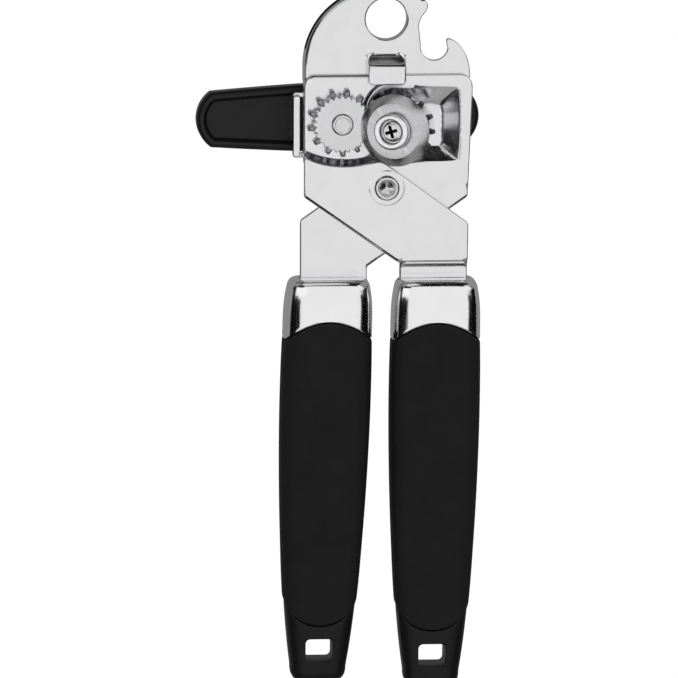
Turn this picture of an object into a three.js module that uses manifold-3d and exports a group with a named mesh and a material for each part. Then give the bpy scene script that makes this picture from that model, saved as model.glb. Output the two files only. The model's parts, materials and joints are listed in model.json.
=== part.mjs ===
// Manual can opener with crossed levers, lying on its back. Millimetres.
// +X is to the right of someone facing the cutting wheel, +Y runs toward the head,
// +Z points from the crank toward the cutting wheel. The underside of the crank is at Z = 0.
import * as THREE from 'three';
import { mergeVertices } from 'three/addons/utils/BufferGeometryUtils.js';
import Module from 'manifold-3d';

const wasm = await Module();
wasm.setup();

// ---------------------------------------------------------------- driving dimensions
const GAP = 0.3;                 // clearance between neighbouring pieces
const SHEET = 2;                 // thickness of the pressed plates
const CLEAR = 40;                // reach of a cutting tool past the metal it cuts
const DEGREE = Math.PI / 180;

// The lever pivot, measured at the front face of the back plate, is the local origin.
const PIVOT = new THREE.Vector3(13.6, 45.95, 14);

// Three layers of sheet, as [rear, front] heights above the front face of the back plate.
const BACK_LAYER = [-SHEET, 0];
const JAW_LAYER = [GAP, GAP + SHEET];
const FRONT_LAYER = [JAW_LAYER[1] + GAP, JAW_LAYER[1] + GAP + SHEET];
const BRACKET_LAYER = [BACK_LAYER[0] - GAP - SHEET, BACK_LAYER[0] - GAP];

// Pivot rivet.
const RIVET_RADIUS = 2.6;
const RIVET_HEAD = 3.7;
const PIVOT_PAD = 6.7;

// Head: one big arc, a left edge tangent to it, and the jaws under it.
const LOBE = { x: -1.1, y: 36, radius: 23.5 };
const HEAD_LEFT = LOBE.x - LOBE.radius;
const HEAD_RIGHT = 25.3;
const RIM_DEPTH = 5;
const RIM_WALL = 1.4;
const RIM_FOOT = 31;             // the turned-back rim starts at this height on the left
const HANG_HOLE = { x: 0.2, y: 50.05, radius: 6.2 };
const NOTCH = { x: 14.5, y: 41.8, radius: 4.1 };
const JAW_TOP = 33.6;
const JAW_LEFT = -24.5;
const PLATE_LEFT = -24.7;        // left edge of the drive lever's front plate
const JAW_RIGHT = 25.8;
const JAW_CORNER = 3.1;
const BAND_FOOT = 31.6;          // lower edge of the back plate behind the right jaw

// Tab lanced from the back plate and folded down over the jaws.
const TAB = { left: -5.4, right: 5.5, fold: 40, knee: 35.8, foot: 30.8, slit: 0.5 };

// Curved joggle that lifts the drive lever over the cutter lever.
const JOGGLE = { x: -12.4, y: 33.8, inner: 25.3, outer: 27.7 };
const JAW_TONGUE = -0.9;         // right end of the left jaw, beside the pivot
const NECK_STEP = { head: -22, foot: -24.3 };   // step back from the front layer to the handle

// Drive train.
const AXLE = { x: -13.6, y: 19.6, radius: 3.1, front: 9.4 };
const TEETH = 13;
const GEAR = { tip: 10.2, root: 7.9, tipShare: 0.24, rootShare: 0.58 };
const DRIVE_GEAR_HEIGHT = [FRONT_LAYER[0], 5.1];
const FEED_WHEEL = { radius: 8.6, notch: 0.8, serrations: 28, low: 5.4, high: 8.4 };
const BUSHING_RADIUS = 3.9;

// Cutter axis: its front end leans toward the feed wheel.
const CUTTER = { x: 4.3, y: 18.4, z: 7.8, tilt: 25 * DEGREE };
const STUD_RADIUS = 2.6;
const DISC_RADIUS = 10.8;
const JAW_BITE = { x: 3, y: 22.2, radius: 9.9 };   // round bite out of the left jaw, around the post

// Crank.
const CRANK = {
  length: 85.5, tip: 10.2, shoulder: 8.3, waist: 10.2, low: -14, high: -7.6, rest: 0.6 * DEGREE,
};
const TROUGH = { depth: 1.6, rim: 2.6, from: 12.5 };

// Handles.
const SKIN = 2.4;                // thickness of the grip and of the collar wall
const HANDLE_MIDDLE = (JAW_LAYER[0] + JAW_LAYER[1]) / 2;
const COLLAR_TOP = -27.1;
const ARCH = { crown: -39.7, foot: -45.2 };
const GRIP_END = { side: -123.4, middle: -132 };
const SOCKET_TOP = -31.5;        // top of the cavity in the collar
const END_INSET = 0.35;          // the plastic end is this much narrower than the grip
const LOOP = { y: -139.5, width: 8.2, height: 6.8, corner: 1.4 };
const TANG = { width: 14, foot: -75, shoulder: -32.4, pin: -58, pinRadius: 1.8 };
const LEAN_FROM = -46;          // the handles lean about this height
const LEFT_HANDLE = { name: 'left', centre: -17.6, lean: 0.027, drop: 0, stretch: 1, neck: [-25.7, -5.7] };
const RIGHT_HANDLE = {
  name: 'right', centre: 14.9, lean: 0.011, drop: 0.38, stretch: 1.014, neck: [4.1, 24.3],
};

// Half width, height and half depth of the handle, from the collar to the end.
const HANDLE_STATIONS = [
  [10.6, COLLAR_TOP, 6.9], [11.8, -28.1, 7.8], [12.4, -30.4, 8.25], [13.3, -46, 8.5], [13.5, -62, 8.7],
  [13.1, -86, 8.3], [12.2, -107, 7.5], [11.2, -123, 6.9], [8.8, -144, 6.1], [8.2, -147.6, 5.8],
  [6.9, -149.3, 4.8],
];

// ---------------------------------------------------------------- materials
const CHROME = { color: 0xd9dadb, roughness: 0.22, metalness: 1 };
const SATIN_STEEL = { color: 0xc4c5c6, roughness: 0.34, metalness: 1 };
const TOOL_STEEL = { color: 0x9b9c9e, roughness: 0.38, metalness: 1 };
const BRONZE = { color: 0xa98b55, roughness: 0.45, metalness: 1 };
const GLOSS_BLACK = { color: 0x101012, roughness: 0.25, metalness: 0 };
const HARD_BLACK = { color: 0x161618, roughness: 0.4, metalness: 0 };
const SOFT_BLACK = { color: 0x1b1b1d, roughness: 0.75, metalness: 0 };

// ---------------------------------------------------------------- solids
const WELD = 1e-4;
const ROUND = 24;                // sides of a turned piece

/** A closed geometry as a solid whose faces point outward. */
function asSolid(source) {
  if (!source.isBufferGeometry) return source;
  const bare = new THREE.BufferGeometry();
  bare.setAttribute('position', source.getAttribute('position'));
  bare.setIndex(source.index);
  const merged = mergeVertices(bare, WELD);
  const corners = merged.index.array;
  const kept = [];
  for (let i = 0; i < corners.length; i += 3) {
    const [a, b, c] = corners.slice(i, i + 3);
    if (a !== b && b !== c && c !== a) kept.push(a, b, c);
  }
  const build = (triangles) => new wasm.Manifold(new wasm.Mesh({
    numProp: 3,
    vertProperties: merged.getAttribute('position').array,
    triVerts: new Uint32Array(triangles),
  }));
  const body = build(kept);
  return body.volume() > 0 ? body : build(kept.reverse());
}

function asGeometry(source) {
  const { vertProperties, triVerts } = asSolid(source).getMesh();
  const geometry = new THREE.BufferGeometry();
  geometry.setAttribute('position', new THREE.BufferAttribute(new Float32Array(vertProperties), 3));
  geometry.setIndex(new THREE.BufferAttribute(new Uint32Array(triVerts), 1));
  const faceted = geometry.toNonIndexed();
  faceted.computeVertexNormals();
  return faceted;
}

const join = (first, ...rest) => rest.reduce((body, next) => body.add(asSolid(next)), asSolid(first));
const cut = (first, ...rest) => rest.reduce((body, next) => body.subtract(asSolid(next)), asSolid(first));
const common = (first, second) => asSolid(first).intersect(asSolid(second));

/** A flat outline made solid between two heights. */
function slab(shape, [low, high], curveSegments = 6) {
  const options = { depth: high - low, bevelEnabled: false, curveSegments };
  return new THREE.ExtrudeGeometry(shape, options).translate(0, 0, low);
}

/** An outline in Y and Z made solid along X. */
function sideSlab(shape, [left, right], curveSegments = 8) {
  const turn = new THREE.Matrix4().makeBasis(
    new THREE.Vector3(0, 1, 0), new THREE.Vector3(0, 0, 1), new THREE.Vector3(1, 0, 0));
  return slab(shape, [left, right], curveSegments).applyMatrix4(turn);
}

/** A profile of [radius, height] points turned about Z. It closes on itself or ends on the axis. */
function turned(profile, segments = ROUND) {
  const points = profile.map(([radius, height]) => new THREE.Vector2(radius, height));
  return new THREE.LatheGeometry(points, segments).rotateX(Math.PI / 2);
}

function ring(inner, outer, [low, high], segments = ROUND) {
  return turned([[inner, low], [outer, low], [outer, high], [inner, high], [inner, low]], segments);
}

function disc(radius, [low, high], segments = ROUND) {
  return turned([[0, low], [radius, low], [radius, high], [0, high]], segments);
}

function block([left, right], [foot, head], [low, high]) {
  const box = new THREE.BoxGeometry(right - left, head - foot, high - low);
  return box.translate((left + right) / 2, (foot + head) / 2, (low + high) / 2);
}

/** Rings of equal point count joined into a closed skin with flat ends. */
function loft(rings) {
  const count = rings[0].length;
  const middle = (points) => points.reduce((sum, p) => sum.clone().add(p)).divideScalar(count);
  const points = [...rings.flat(), middle(rings[0]), middle(rings.at(-1))];
  const firstMiddle = rings.length * count;
  const lastRing = firstMiddle - count;
  const triangles = [];
  for (let i = 0; i < count; i += 1) {
    const j = (i + 1) % count;
    for (let r = 0; r < lastRing; r += count) {
      triangles.push(r + i, r + j, r + count + j, r + i, r + count + j, r + count + i);
    }
    triangles.push(firstMiddle, j, i, firstMiddle + 1, lastRing + i, lastRing + j);
  }
  const geometry = new THREE.BufferGeometry().setFromPoints(points);
  geometry.setIndex(triangles);
  return geometry;
}

/** A closed outline through corner points [x, y, radius], each corner rounded by its radius. */
function rounded(corners) {
  const shape = new THREE.Shape();
  const at = (i) => corners[(i + corners.length) % corners.length];
  corners.forEach(([x, y, radius = 0], i) => {
    const corner = new THREE.Vector2(x, y);
    const before = new THREE.Vector2(...at(i - 1).slice(0, 2)).sub(corner).normalize();
    const after = new THREE.Vector2(...at(i + 1).slice(0, 2)).sub(corner).normalize();
    const half = Math.acos(THREE.MathUtils.clamp(before.dot(after), -1, 1)) / 2;
    const reach = radius / Math.tan(half);
    const start = corner.clone().addScaledVector(before, reach);
    const end = corner.clone().addScaledVector(after, reach);
    if (i === 0) shape.moveTo(start.x, start.y);
    else shape.lineTo(start.x, start.y);
    if (radius > 0) {
      const centre = before.add(after).normalize().multiplyScalar(radius / Math.sin(half)).add(corner);
      const from = Math.atan2(start.y - centre.y, start.x - centre.x);
      const to = Math.atan2(end.y - centre.y, end.x - centre.x);
      const sweep = Math.atan2(Math.sin(to - from), Math.cos(to - from));
      shape.absarc(centre.x, centre.y, radius, from, from + sweep, sweep < 0);
    }
  });
  shape.closePath();
  return shape;
}

const circle = (x, y, radius) => new THREE.Shape().absarc(x, y, radius, 0, 2 * Math.PI);
const hole = (x, y, radius, segments = 12) => slab(circle(x, y, radius), [-CLEAR, CLEAR], segments);

/** Moves a solid made about the cutter axis, with the gear's middle at height 0, into place. */
function onCutterAxis(geometry) {
  return geometry.rotateY(-CUTTER.tilt).translate(CUTTER.x, CUTTER.y, CUTTER.z);
}

// ---------------------------------------------------------------- assembly groups
const canOpener = new THREE.Group();
const frame = new THREE.Group();
frame.position.copy(PIVOT);
canOpener.add(frame);
const axleGroup = new THREE.Group();
axleGroup.position.set(AXLE.x, AXLE.y, 0);
frame.add(axleGroup);
const cutterGroup = new THREE.Group();
cutterGroup.position.set(CUTTER.x, CUTTER.y, CUTTER.z);
cutterGroup.rotation.y = -CUTTER.tilt;
frame.add(cutterGroup);

function addPiece(name, solid, finish, group = frame) {
  const mesh = new THREE.Mesh(asGeometry(solid), new THREE.MeshStandardMaterial(finish));
  mesh.name = name;
  group.add(mesh);
}

// ---------------------------------------------------------------- back plate
function backPlateOutline() {
  const { x, y, radius } = LOBE;
  const shape = new THREE.Shape();
  shape.moveTo(HEAD_LEFT, 8);
  shape.lineTo(HEAD_LEFT, y);
  shape.absarc(x, y, radius, Math.PI, 57.5 * DEGREE, true);
  shape.quadraticCurveTo(13.6, 54.2, 11.6, 51.8);
  shape.bezierCurveTo(10.1, 50, 9.7, 48.6, 10, 46.6);
  shape.lineTo(10.45, NOTCH.y + 0.4);
  shape.absarc(NOTCH.x, NOTCH.y, NOTCH.radius, Math.PI, 350 * DEGREE, false);
  shape.quadraticCurveTo(18.1, 42.9, 18.1, 43.6);
  shape.quadraticCurveTo(18.3, 44.3, 19.4, 44);
  shape.bezierCurveTo(23.2, 42.4, HEAD_RIGHT, 38, HEAD_RIGHT, BAND_FOOT + 1);
  shape.lineTo(HEAD_RIGHT - 1, BAND_FOOT);
  shape.lineTo(TAB.left, BAND_FOOT);
  shape.absarc(JAW_BITE.x, JAW_BITE.y, JAW_BITE.radius + GAP, 130 * DEGREE, 244 * DEGREE, false);
  shape.lineTo(JAW_TONGUE, PIVOT_PAD);
  shape.absarc(0, 0, PIVOT_PAD, 90 * DEGREE, -120 * DEGREE, true);
  shape.lineTo(HEAD_LEFT + 2, 5.4);
  shape.quadraticCurveTo(HEAD_LEFT, 6, HEAD_LEFT, 8);
  return shape;
}

function turnedBackRim() {
  const { x, y, radius } = LOBE;
  const outline = new THREE.Shape();
  outline.moveTo(HEAD_LEFT, RIM_FOOT);
  outline.lineTo(HEAD_LEFT, y);
  outline.absarc(x, y, radius, Math.PI, 58 * DEGREE, true);
  outline.absarc(x, y, radius - RIM_WALL, 58 * DEGREE, Math.PI, false);
  outline.lineTo(HEAD_LEFT + RIM_WALL, RIM_FOOT);
  outline.closePath();
  return slab(outline, [-RIM_DEPTH, -SHEET / 2], 12);
}

function foldedTab() {
  const { left, right, fold, knee, foot } = TAB;
  const [low, high] = FRONT_LAYER;
  const profile = rounded([
    [fold + 1, -SHEET], [fold + 1, 0], [fold, 0, 1.2], [knee, high, 1.4],
    [foot, high, 0.3], [foot, low, 0.3], [knee - 0.8, low, 0.5], [fold - 1, -SHEET, 0.4],
  ]);
  const outline = rounded([
    [left, foot, 1.2], [right, foot, 1.2], [right, fold + 1, 1.5], [left, fold + 1, 1.5],
  ]);
  return common(sideSlab(profile, [left, right], 4), slab(outline, [-CLEAR, CLEAR], 4));
}

function backPlate() {
  const { left, right, fold, slit } = TAB;
  const eye = HANG_HOLE;
  const flange = slab(circle(eye.x, eye.y, eye.radius + RIM_WALL), [-RIM_DEPTH, -SHEET / 2]);
  const lancedWindow = block([left - slit, right + slit], [BAND_FOOT - 4, fold], [-CLEAR, CLEAR]);
  return join(
    cut(
      join(slab(backPlateOutline(), BACK_LAYER, 10), turnedBackRim(), flange),
      hole(eye.x, eye.y, eye.radius),
      hole(AXLE.x, AXLE.y, BUSHING_RADIUS + GAP),
      hole(0, 0, RIVET_RADIUS + GAP),
      lancedWindow,
    ),
    foldedTab(),
  );
}
addPiece('back_plate', backPlate(), CHROME);

function bearingBracket() {
  const left = -28;
  const plate = rounded([[left, 9, 1], [-4, 9, 1], [-4, 28.6, 1], [left, 28.6, 1]]);
  const lip = block([left, left + 1.6], [9.6, 28], [BRACKET_LAYER[0], 0.4]);
  return cut(
    join(slab(plate, BRACKET_LAYER, 4), lip),
    hole(AXLE.x, AXLE.y, BUSHING_RADIUS + GAP),
    hole(JAW_BITE.x, JAW_BITE.y, JAW_BITE.radius + GAP, 20),
  );
}
addPiece('bearing_bracket', bearingBracket(), CHROME);

// ---------------------------------------------------------------- drive lever
/** Tang and neck of a lever, entering the handle in the middle of its depth. */
function tang({ neck, centre }, top) {
  const { width, foot, shoulder } = TANG;
  const outline = rounded([
    [neck[0], top], [neck[0], shoulder, 1.5], [centre - width / 2, shoulder], [centre - width / 2, foot, 2],
    [centre + width / 2, foot, 2], [centre + width / 2, shoulder], [neck[1], shoulder, 1.5], [neck[1], top],
  ]);
  return cut(slab(outline, JAW_LAYER, 4), hole(centre, TANG.pin, TANG.pinRadius + GAP, 6));
}

function leftJaw() {
  const outline = rounded([
    [JAW_LEFT, 6], [JAW_TONGUE, 6], [JAW_TONGUE, JAW_TOP, 1], [JAW_LEFT, JAW_TOP, JAW_CORNER],
  ]);
  const reach = slab(circle(JOGGLE.x, JOGGLE.y, (JOGGLE.inner + JOGGLE.outer) / 2), [-CLEAR, CLEAR], 24);
  return common(slab(outline, JAW_LAYER), reach);
}

/** The sloping wall of the joggle, a cone-shaped band that rises from the jaw to the front layer. */
function joggleWall() {
  const { inner, outer, x, y } = JOGGLE;
  const band = turned([
    [inner - 1.6, JAW_LAYER[0]], [inner, JAW_LAYER[0]], [outer, FRONT_LAYER[0]],
    [outer + 1, FRONT_LAYER[0]],
    [outer + 1, FRONT_LAYER[1]], [outer - 0.6, FRONT_LAYER[1]], [inner - 0.6, JAW_LAYER[1]],
    [inner - 1.6, JAW_LAYER[1]], [inner - 1.6, JAW_LAYER[0]],
  ], 60).translate(x, y, 0);
  const sector = rounded([[JAW_LEFT, 3], [JAW_TONGUE, 3], [JAW_TONGUE, 20], [JAW_LEFT, 20]]);
  return common(band, slab(sector, [-CLEAR, CLEAR]));
}

function driveLeverFront() {
  const { neck } = RIGHT_HANDLE;
  const outline = rounded([
    [PLATE_LEFT, 20], [PLATE_LEFT, -2.7, 1.2], [neck[0] - 1.6, NECK_STEP.head, 0.6],
    [neck[0], NECK_STEP.head], [neck[1], NECK_STEP.head], [24.5, -10.8, 1.6], [JAW_TONGUE, 7.7],
    [JAW_TONGUE, 20],
  ]);
  const keep = slab(circle(JOGGLE.x, JOGGLE.y, JOGGLE.outer - 0.3), [-CLEAR, CLEAR], 24);
  return cut(slab(outline, FRONT_LAYER), keep);
}

/** The step back from the front layer to the middle of the handle. */
function neckStep() {
  const [low, high] = FRONT_LAYER;
  const { head, foot } = NECK_STEP;
  const profile = rounded([
    [head + 1, high], [head, high, 0.8], [foot, JAW_LAYER[1], 0.6], [foot - 3, JAW_LAYER[1]],
    [foot - 3, JAW_LAYER[0]], [foot - 0.8, JAW_LAYER[0], 0.6], [head - 0.8, low, 0.8], [head + 1, low],
  ]);
  return sideSlab(profile, RIGHT_HANDLE.neck, 3);
}

function driveLeverPlate() {
  const jaw = cut(join(leftJaw(), joggleWall()), hole(JAW_BITE.x, JAW_BITE.y, JAW_BITE.radius, 24));
  return cut(
    join(jaw, driveLeverFront(), neckStep(), tang(RIGHT_HANDLE, NECK_STEP.foot - 2.7)),
    hole(AXLE.x, AXLE.y, BUSHING_RADIUS + GAP),
    hole(0, 0, RIVET_RADIUS + GAP),
  );
}
addPiece('drive_lever_plate', driveLeverPlate(), CHROME);

// ---------------------------------------------------------------- cutter lever
const POCKET = {
  mouth: [[22, 7.5], [22, 29.9], [-0.7, 29.7], [-4.5, 26.6], [-5.7, 22.2], [-4.5, 17.9], [-1.3, 14.7],
    [0.8, 11.5], [0.8, 7.5]],
  floor: [[17.2, 10.6], [17.2, 24.3], [3, 27.7], [-1.2, 25], [-2, 21.8], [-1, 18.5], [1.2, 16], [3.2, 13.4],
    [3.6, 10.6]],
  depth: 4,
  middle: 7.3,                   // the mouth grows away from this X
};

function pocketFrustum(grow, mouthHeight, floorHeight) {
  const level = (outline, height, margin) => outline.map(([x, y]) => {
    const away = new THREE.Vector2(x - POCKET.middle, y - CUTTER.y).normalize().multiplyScalar(margin);
    return new THREE.Vector3(x + away.x, y + away.y, height);
  });
  return loft([level(POCKET.floor, floorHeight, grow[1]), level(POCKET.mouth, mouthHeight, grow[0])]);
}

function cutterLeverPlate() {
  const [rear, front] = JAW_LAYER;
  const [neckLeft, neckRight] = LEFT_HANDLE.neck;
  const floorHeight = front - POCKET.depth;
  const slope = (POCKET.mouth[0][0] - POCKET.floor[0][0]) / POCKET.depth;
  const jaw = rounded([
    [-0.4, 2], [24.6, 0], [JAW_RIGHT, 28], [JAW_RIGHT, JAW_TOP, 3.4], [-0.4, JAW_TOP, 0.8], [-12, 25],
    [-12, 12.5], [-0.4, 12.5],
  ]);
  const lever = rounded([
    [neckLeft, -28], [neckRight, -28], [neckRight, -24, 1.2], [24.5, -3.1, 1.6],
    [24.6, 6.6], [-2.3, 6.6], [neckLeft, -9.9, 1.6],
  ]);
  const leftJawSide = block([-CLEAR, JAW_TONGUE + 0.5], [-CLEAR, CLEAR], [-CLEAR, CLEAR]);
  const keepOut = cut(
    common(hole(JOGGLE.x, JOGGLE.y, JOGGLE.outer + 0.5, 32), leftJawSide),
    hole(JAW_BITE.x, JAW_BITE.y, JAW_BITE.radius - 0.4, 32),
  );
  const sheet = cut(join(slab(jaw, JAW_LAYER), slab(lever, JAW_LAYER)), keepOut);
  const outer = pocketFrustum([0.7, 1.3], rear, floorHeight - SHEET);
  const inner = pocketFrustum([slope * GAP, 0], front + GAP, floorHeight);
  const shank = tang(LEFT_HANDLE, NECK_STEP.foot - 2.7);
  return cut(join(sheet, outer, shank), inner, hole(0, 0, RIVET_RADIUS + GAP));
}
addPiece('cutter_lever_plate', cutterLeverPlate(), CHROME);

// ---------------------------------------------------------------- pivot
function pivotRivet() {
  const head = FRONT_LAYER[1] + GAP;
  const foot = BACK_LAYER[0] - 1.6;
  return turned([
    [0, foot - 1.2], [3.4, foot - 1.2], [4, foot - 0.7], [4, foot], [RIVET_RADIUS, foot],
    [RIVET_RADIUS, head], [RIVET_HEAD, head], [RIVET_HEAD, head + 0.5], [3.2, head + 0.9],
    [2.6, head + 0.9], [2.2, head + 0.5], [0, head + 0.1],
  ]);
}
addPiece('pivot_rivet', pivotRivet(), SATIN_STEEL);
const rearWasher = ring(RIVET_RADIUS + GAP, 5.6, [BACK_LAYER[0] - 1.3, BACK_LAYER[0] - GAP]);
addPiece('pivot_rear_washer', rearWasher, SATIN_STEEL);

// ---------------------------------------------------------------- crank and drive train
const BUSHING_FLANGE = [BRACKET_LAYER[0] - GAP - 1, BRACKET_LAYER[0] - GAP];
const WASHER_LAYER = [BUSHING_FLANGE[0] - 1.2, BUSHING_FLANGE[0] - GAP];
const HUB_TOP = WASHER_LAYER[0] - GAP;
const BORE = AXLE.radius + GAP;

addPiece('axle_bushing', turned([
  [BORE, BUSHING_FLANGE[0]], [6.6, BUSHING_FLANGE[0]], [6.6, BUSHING_FLANGE[1]],
  [BUSHING_RADIUS, BUSHING_FLANGE[1]], [BUSHING_RADIUS, JAW_LAYER[1]], [BORE, JAW_LAYER[1]],
  [BORE, BUSHING_FLANGE[0]],
]), BRONZE, axleGroup);
addPiece('crank_thrust_washer', ring(BORE, 6.4, WASHER_LAYER), SATIN_STEEL, axleGroup);

function toothedOutline(count, tip, root, tipShare, rootShare, phase) {
  const shape = new THREE.Shape();
  const pitch = (2 * Math.PI) / count;
  for (let tooth = 0; tooth < count; tooth += 1) {
    const middle = phase + tooth * pitch;
    const corners = [
      [root, -rootShare / 2], [tip, -tipShare / 2], [tip, tipShare / 2], [root, rootShare / 2],
    ];
    corners.forEach(([radius, share], i) => {
      const angle = middle + share * pitch;
      const x = radius * Math.cos(angle);
      const y = radius * Math.sin(angle);
      if (tooth === 0 && i === 0) shape.moveTo(x, y);
      else shape.lineTo(x, y);
    });
  }
  shape.closePath();
  return shape;
}

function gear(phase, heights, bore) {
  const shape = toothedOutline(TEETH, GEAR.tip, GEAR.root, GEAR.tipShare, GEAR.rootShare, phase);
  shape.holes.push(new THREE.Path().absarc(0, 0, bore, 0, 2 * Math.PI));
  return slab(shape, heights);
}

const MESH_ANGLE = Math.atan2(CUTTER.y - AXLE.y, CUTTER.x - AXLE.x);
addPiece('drive_gear', gear(MESH_ANGLE, DRIVE_GEAR_HEIGHT, BORE), TOOL_STEEL, axleGroup);

function feedWheel() {
  const { radius, notch, serrations, low, high } = FEED_WHEEL;
  const outline = toothedOutline(serrations, radius, radius - notch, 0.18, 0.82, 0);
  const boss = disc(5.2, [low + 1, high + 0.35]);
  return cut(join(slab(outline, [low, high]), boss), disc(BORE, [-CLEAR, CLEAR]));
}
addPiece('feed_wheel', feedWheel(), SATIN_STEEL, axleGroup);

addPiece('drive_axle', turned([
  [0, CRANK.low + 2.6], [AXLE.radius, CRANK.low + 2.6],
  [AXLE.radius, AXLE.front - 0.4], [AXLE.radius - 0.4, AXLE.front], [0, AXLE.front],
]), SATIN_STEEL, axleGroup);

function crankOutline(inset) {
  const { length, tip, shoulder, waist } = CRANK;
  const end = length / 2 - inset;
  const centre = end - tip;
  const half = shoulder - inset;
  const reach = centre + Math.sqrt(tip ** 2 - half ** 2);
  const shape = new THREE.Shape();
  const swing = Math.asin(half / tip);
  shape.moveTo(0, waist - inset + 0.2);
  shape.quadraticCurveTo(-12, waist - inset, -reach, half);
  shape.absarc(-centre, 0, tip, Math.PI - swing, Math.PI + swing, false);
  shape.quadraticCurveTo(-12, -waist + inset, 0, -waist + inset - 0.2);
  shape.quadraticCurveTo(12, -waist + inset, reach, -half);
  shape.absarc(centre, 0, tip, -swing, swing, false);
  shape.quadraticCurveTo(12, waist - inset, 0, waist - inset + 0.2);
  return shape;
}

function crankKnob() {
  const { low, high } = CRANK;
  const hubKeep = block([-TROUGH.from, TROUGH.from], [-CLEAR, CLEAR], [-CLEAR, CLEAR]);
  const trough = (heights) => cut(slab(crankOutline(TROUGH.rim), heights), hubKeep);
  const body = join(
    slab(crankOutline(0), [low + 1, high - 1]),
    slab(crankOutline(0.7), [low, high]),
    turned([[0, high - 1], [9.2, high - 1], [8.4, HUB_TOP], [0, HUB_TOP]]),
  );
  return cut(
    body,
    trough([high - TROUGH.depth, high + 1]),
    trough([low - 1, low + TROUGH.depth]),
    turned([[0, low - 1], [6.2, low - 1], [6.2, low + 2], [0, low + 2]]),
    disc(5.6, [low + 1, 0], 6),
  ).rotate([0, 0, CRANK.rest / DEGREE]);
}
addPiece('crank_knob', crankKnob(), GLOSS_BLACK, axleGroup);
addPiece('crank_insert', cut(disc(5.2, [CRANK.low + 2.3, HUB_TOP], 6), disc(BORE, [CRANK.low + 2, 0]))
  .rotate([0, 0, CRANK.rest / DEGREE]), SATIN_STEEL, axleGroup);
addPiece('crank_cap', disc(5.8, [CRANK.low + 0.3, CRANK.low + 1.7]), HARD_BLACK, axleGroup);

// ---------------------------------------------------------------- cutter
const HUB = { low: 8.2, high: 10.3, radius: 5.45, recess: 3.6 };
const SCREW = { seat: 8.9, top: 9.9, head: 3.1, shank: 1.5 };
const STUD_TOP = 8.4;
const STUD_BORE = STUD_RADIUS + 0.4;

/** Stud leaning on a flat foot that sits in the floor of the pressed pocket. */
function cutterPost() {
  const floorHeight = JAW_LAYER[1] - POCKET.depth + GAP;
  const axisDrop = (CUTTER.z - floorHeight) * Math.tan(CUTTER.tilt);
  const stud = onCutterAxis(turned([
    [0, -18], [4.6, -18], [4.6, -2.5], [STUD_RADIUS, -2.5], [STUD_RADIUS, STUD_TOP], [0, STUD_TOP],
  ]));
  const foot = disc(6.2, [floorHeight, floorHeight + 1.2], 24).translate(CUTTER.x + axisDrop, CUTTER.y, 0);
  const below = block([-CLEAR, CLEAR], [-CLEAR, CLEAR], [floorHeight - CLEAR, floorHeight]);
  const thread = onCutterAxis(disc(SCREW.shank + GAP, [0, STUD_TOP + 1], 24));
  return cut(join(stud, foot), below, thread);
}
addPiece('cutter_post', cutterPost(), SATIN_STEEL);

addPiece('cutter_thrust_washer', ring(STUD_BORE, 5.6, [-2.2, -1.3]), SATIN_STEEL, cutterGroup);
const cutterPhase = MESH_ANGLE + Math.PI + Math.PI / TEETH;
addPiece('cutter_gear', gear(cutterPhase, [-1, 1], STUD_BORE), TOOL_STEEL, cutterGroup);
addPiece('cutter_spacer', ring(STUD_BORE, 5, [1.3, 5.6]), SATIN_STEEL, cutterGroup);
addPiece('cutting_wheel', turned([
  [STUD_BORE, 5.9], [9.9, 5.9], [DISC_RADIUS, 6.3], [8.3, 7.9], [STUD_BORE, 7.9], [STUD_BORE, 5.9],
], 44), TOOL_STEEL, cutterGroup);
addPiece('cutter_hub_washer', turned([
  [STUD_BORE, HUB.low], [HUB.radius, HUB.low], [HUB.radius, HUB.high - 0.5], [HUB.radius - 0.5, HUB.high],
  [HUB.recess, HUB.high], [HUB.recess, HUB.low + 0.4], [STUD_BORE, HUB.low + 0.4], [STUD_BORE, HUB.low],
], 32), CHROME, cutterGroup);

function cutterScrew() {
  const { seat, top, head, shank } = SCREW;
  const slot = (angle) => block([-1.9, 1.9], [-0.4, 0.4], [top - 0.7, top + 1]).rotateZ(angle);
  const lean = 17 * DEGREE;
  return cut(
    turned([
      [0, 1], [shank, 1], [shank, seat], [head, seat], [head, top - 0.4], [head - 0.6, top], [0, top],
    ]),
    slot(lean),
    slot(lean + Math.PI / 2),
  );
}
addPiece('cutter_screw', cutterScrew(), SATIN_STEEL, cutterGroup);

// ---------------------------------------------------------------- handles
/** The right handle is a little longer than the left one and sits a little lower. */
const placeAlong = ({ stretch, drop }, height) => (height - COLLAR_TOP) * stretch + COLLAR_TOP - drop;

/** A rounded-rectangle section of the handle, drawn round the handle's centre line. */
function handleRing(handle, [halfWidth, height, halfDepth], inset) {
  const sides = 20;
  const squareness = 2 / 4.2;
  const y = placeAlong(handle, height);
  const centre = handle.centre + handle.lean * (height - LEAN_FROM);
  const bend = (value) => Math.sign(value) * Math.abs(value) ** squareness;
  return Array.from({ length: sides }, (_, i) => {
    const angle = (2 * Math.PI * (i + 0.5)) / sides;
    return new THREE.Vector3(
      centre + (halfWidth - inset) * bend(Math.cos(angle)),
      y,
      HANDLE_MIDDLE + (halfDepth - inset) * bend(Math.sin(angle)),
    );
  });
}

function handleBody(handle, inset, head = 0) {
  const curve = new THREE.CatmullRomCurve3(HANDLE_STATIONS.map((station) => new THREE.Vector3(...station)));
  const steps = curve.getPoints(HANDLE_STATIONS.length).map((p) => p.toArray());
  const whole = loft(steps.map((station) => handleRing(handle, station, inset)));
  return common(whole, block([-CLEAR, CLEAR], [-4 * CLEAR, head], [-CLEAR, CLEAR]));
}

const parabola = (u) => 1 - u * u;
const ellipse = (u) => Math.sqrt(1 - u * u);

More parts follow.
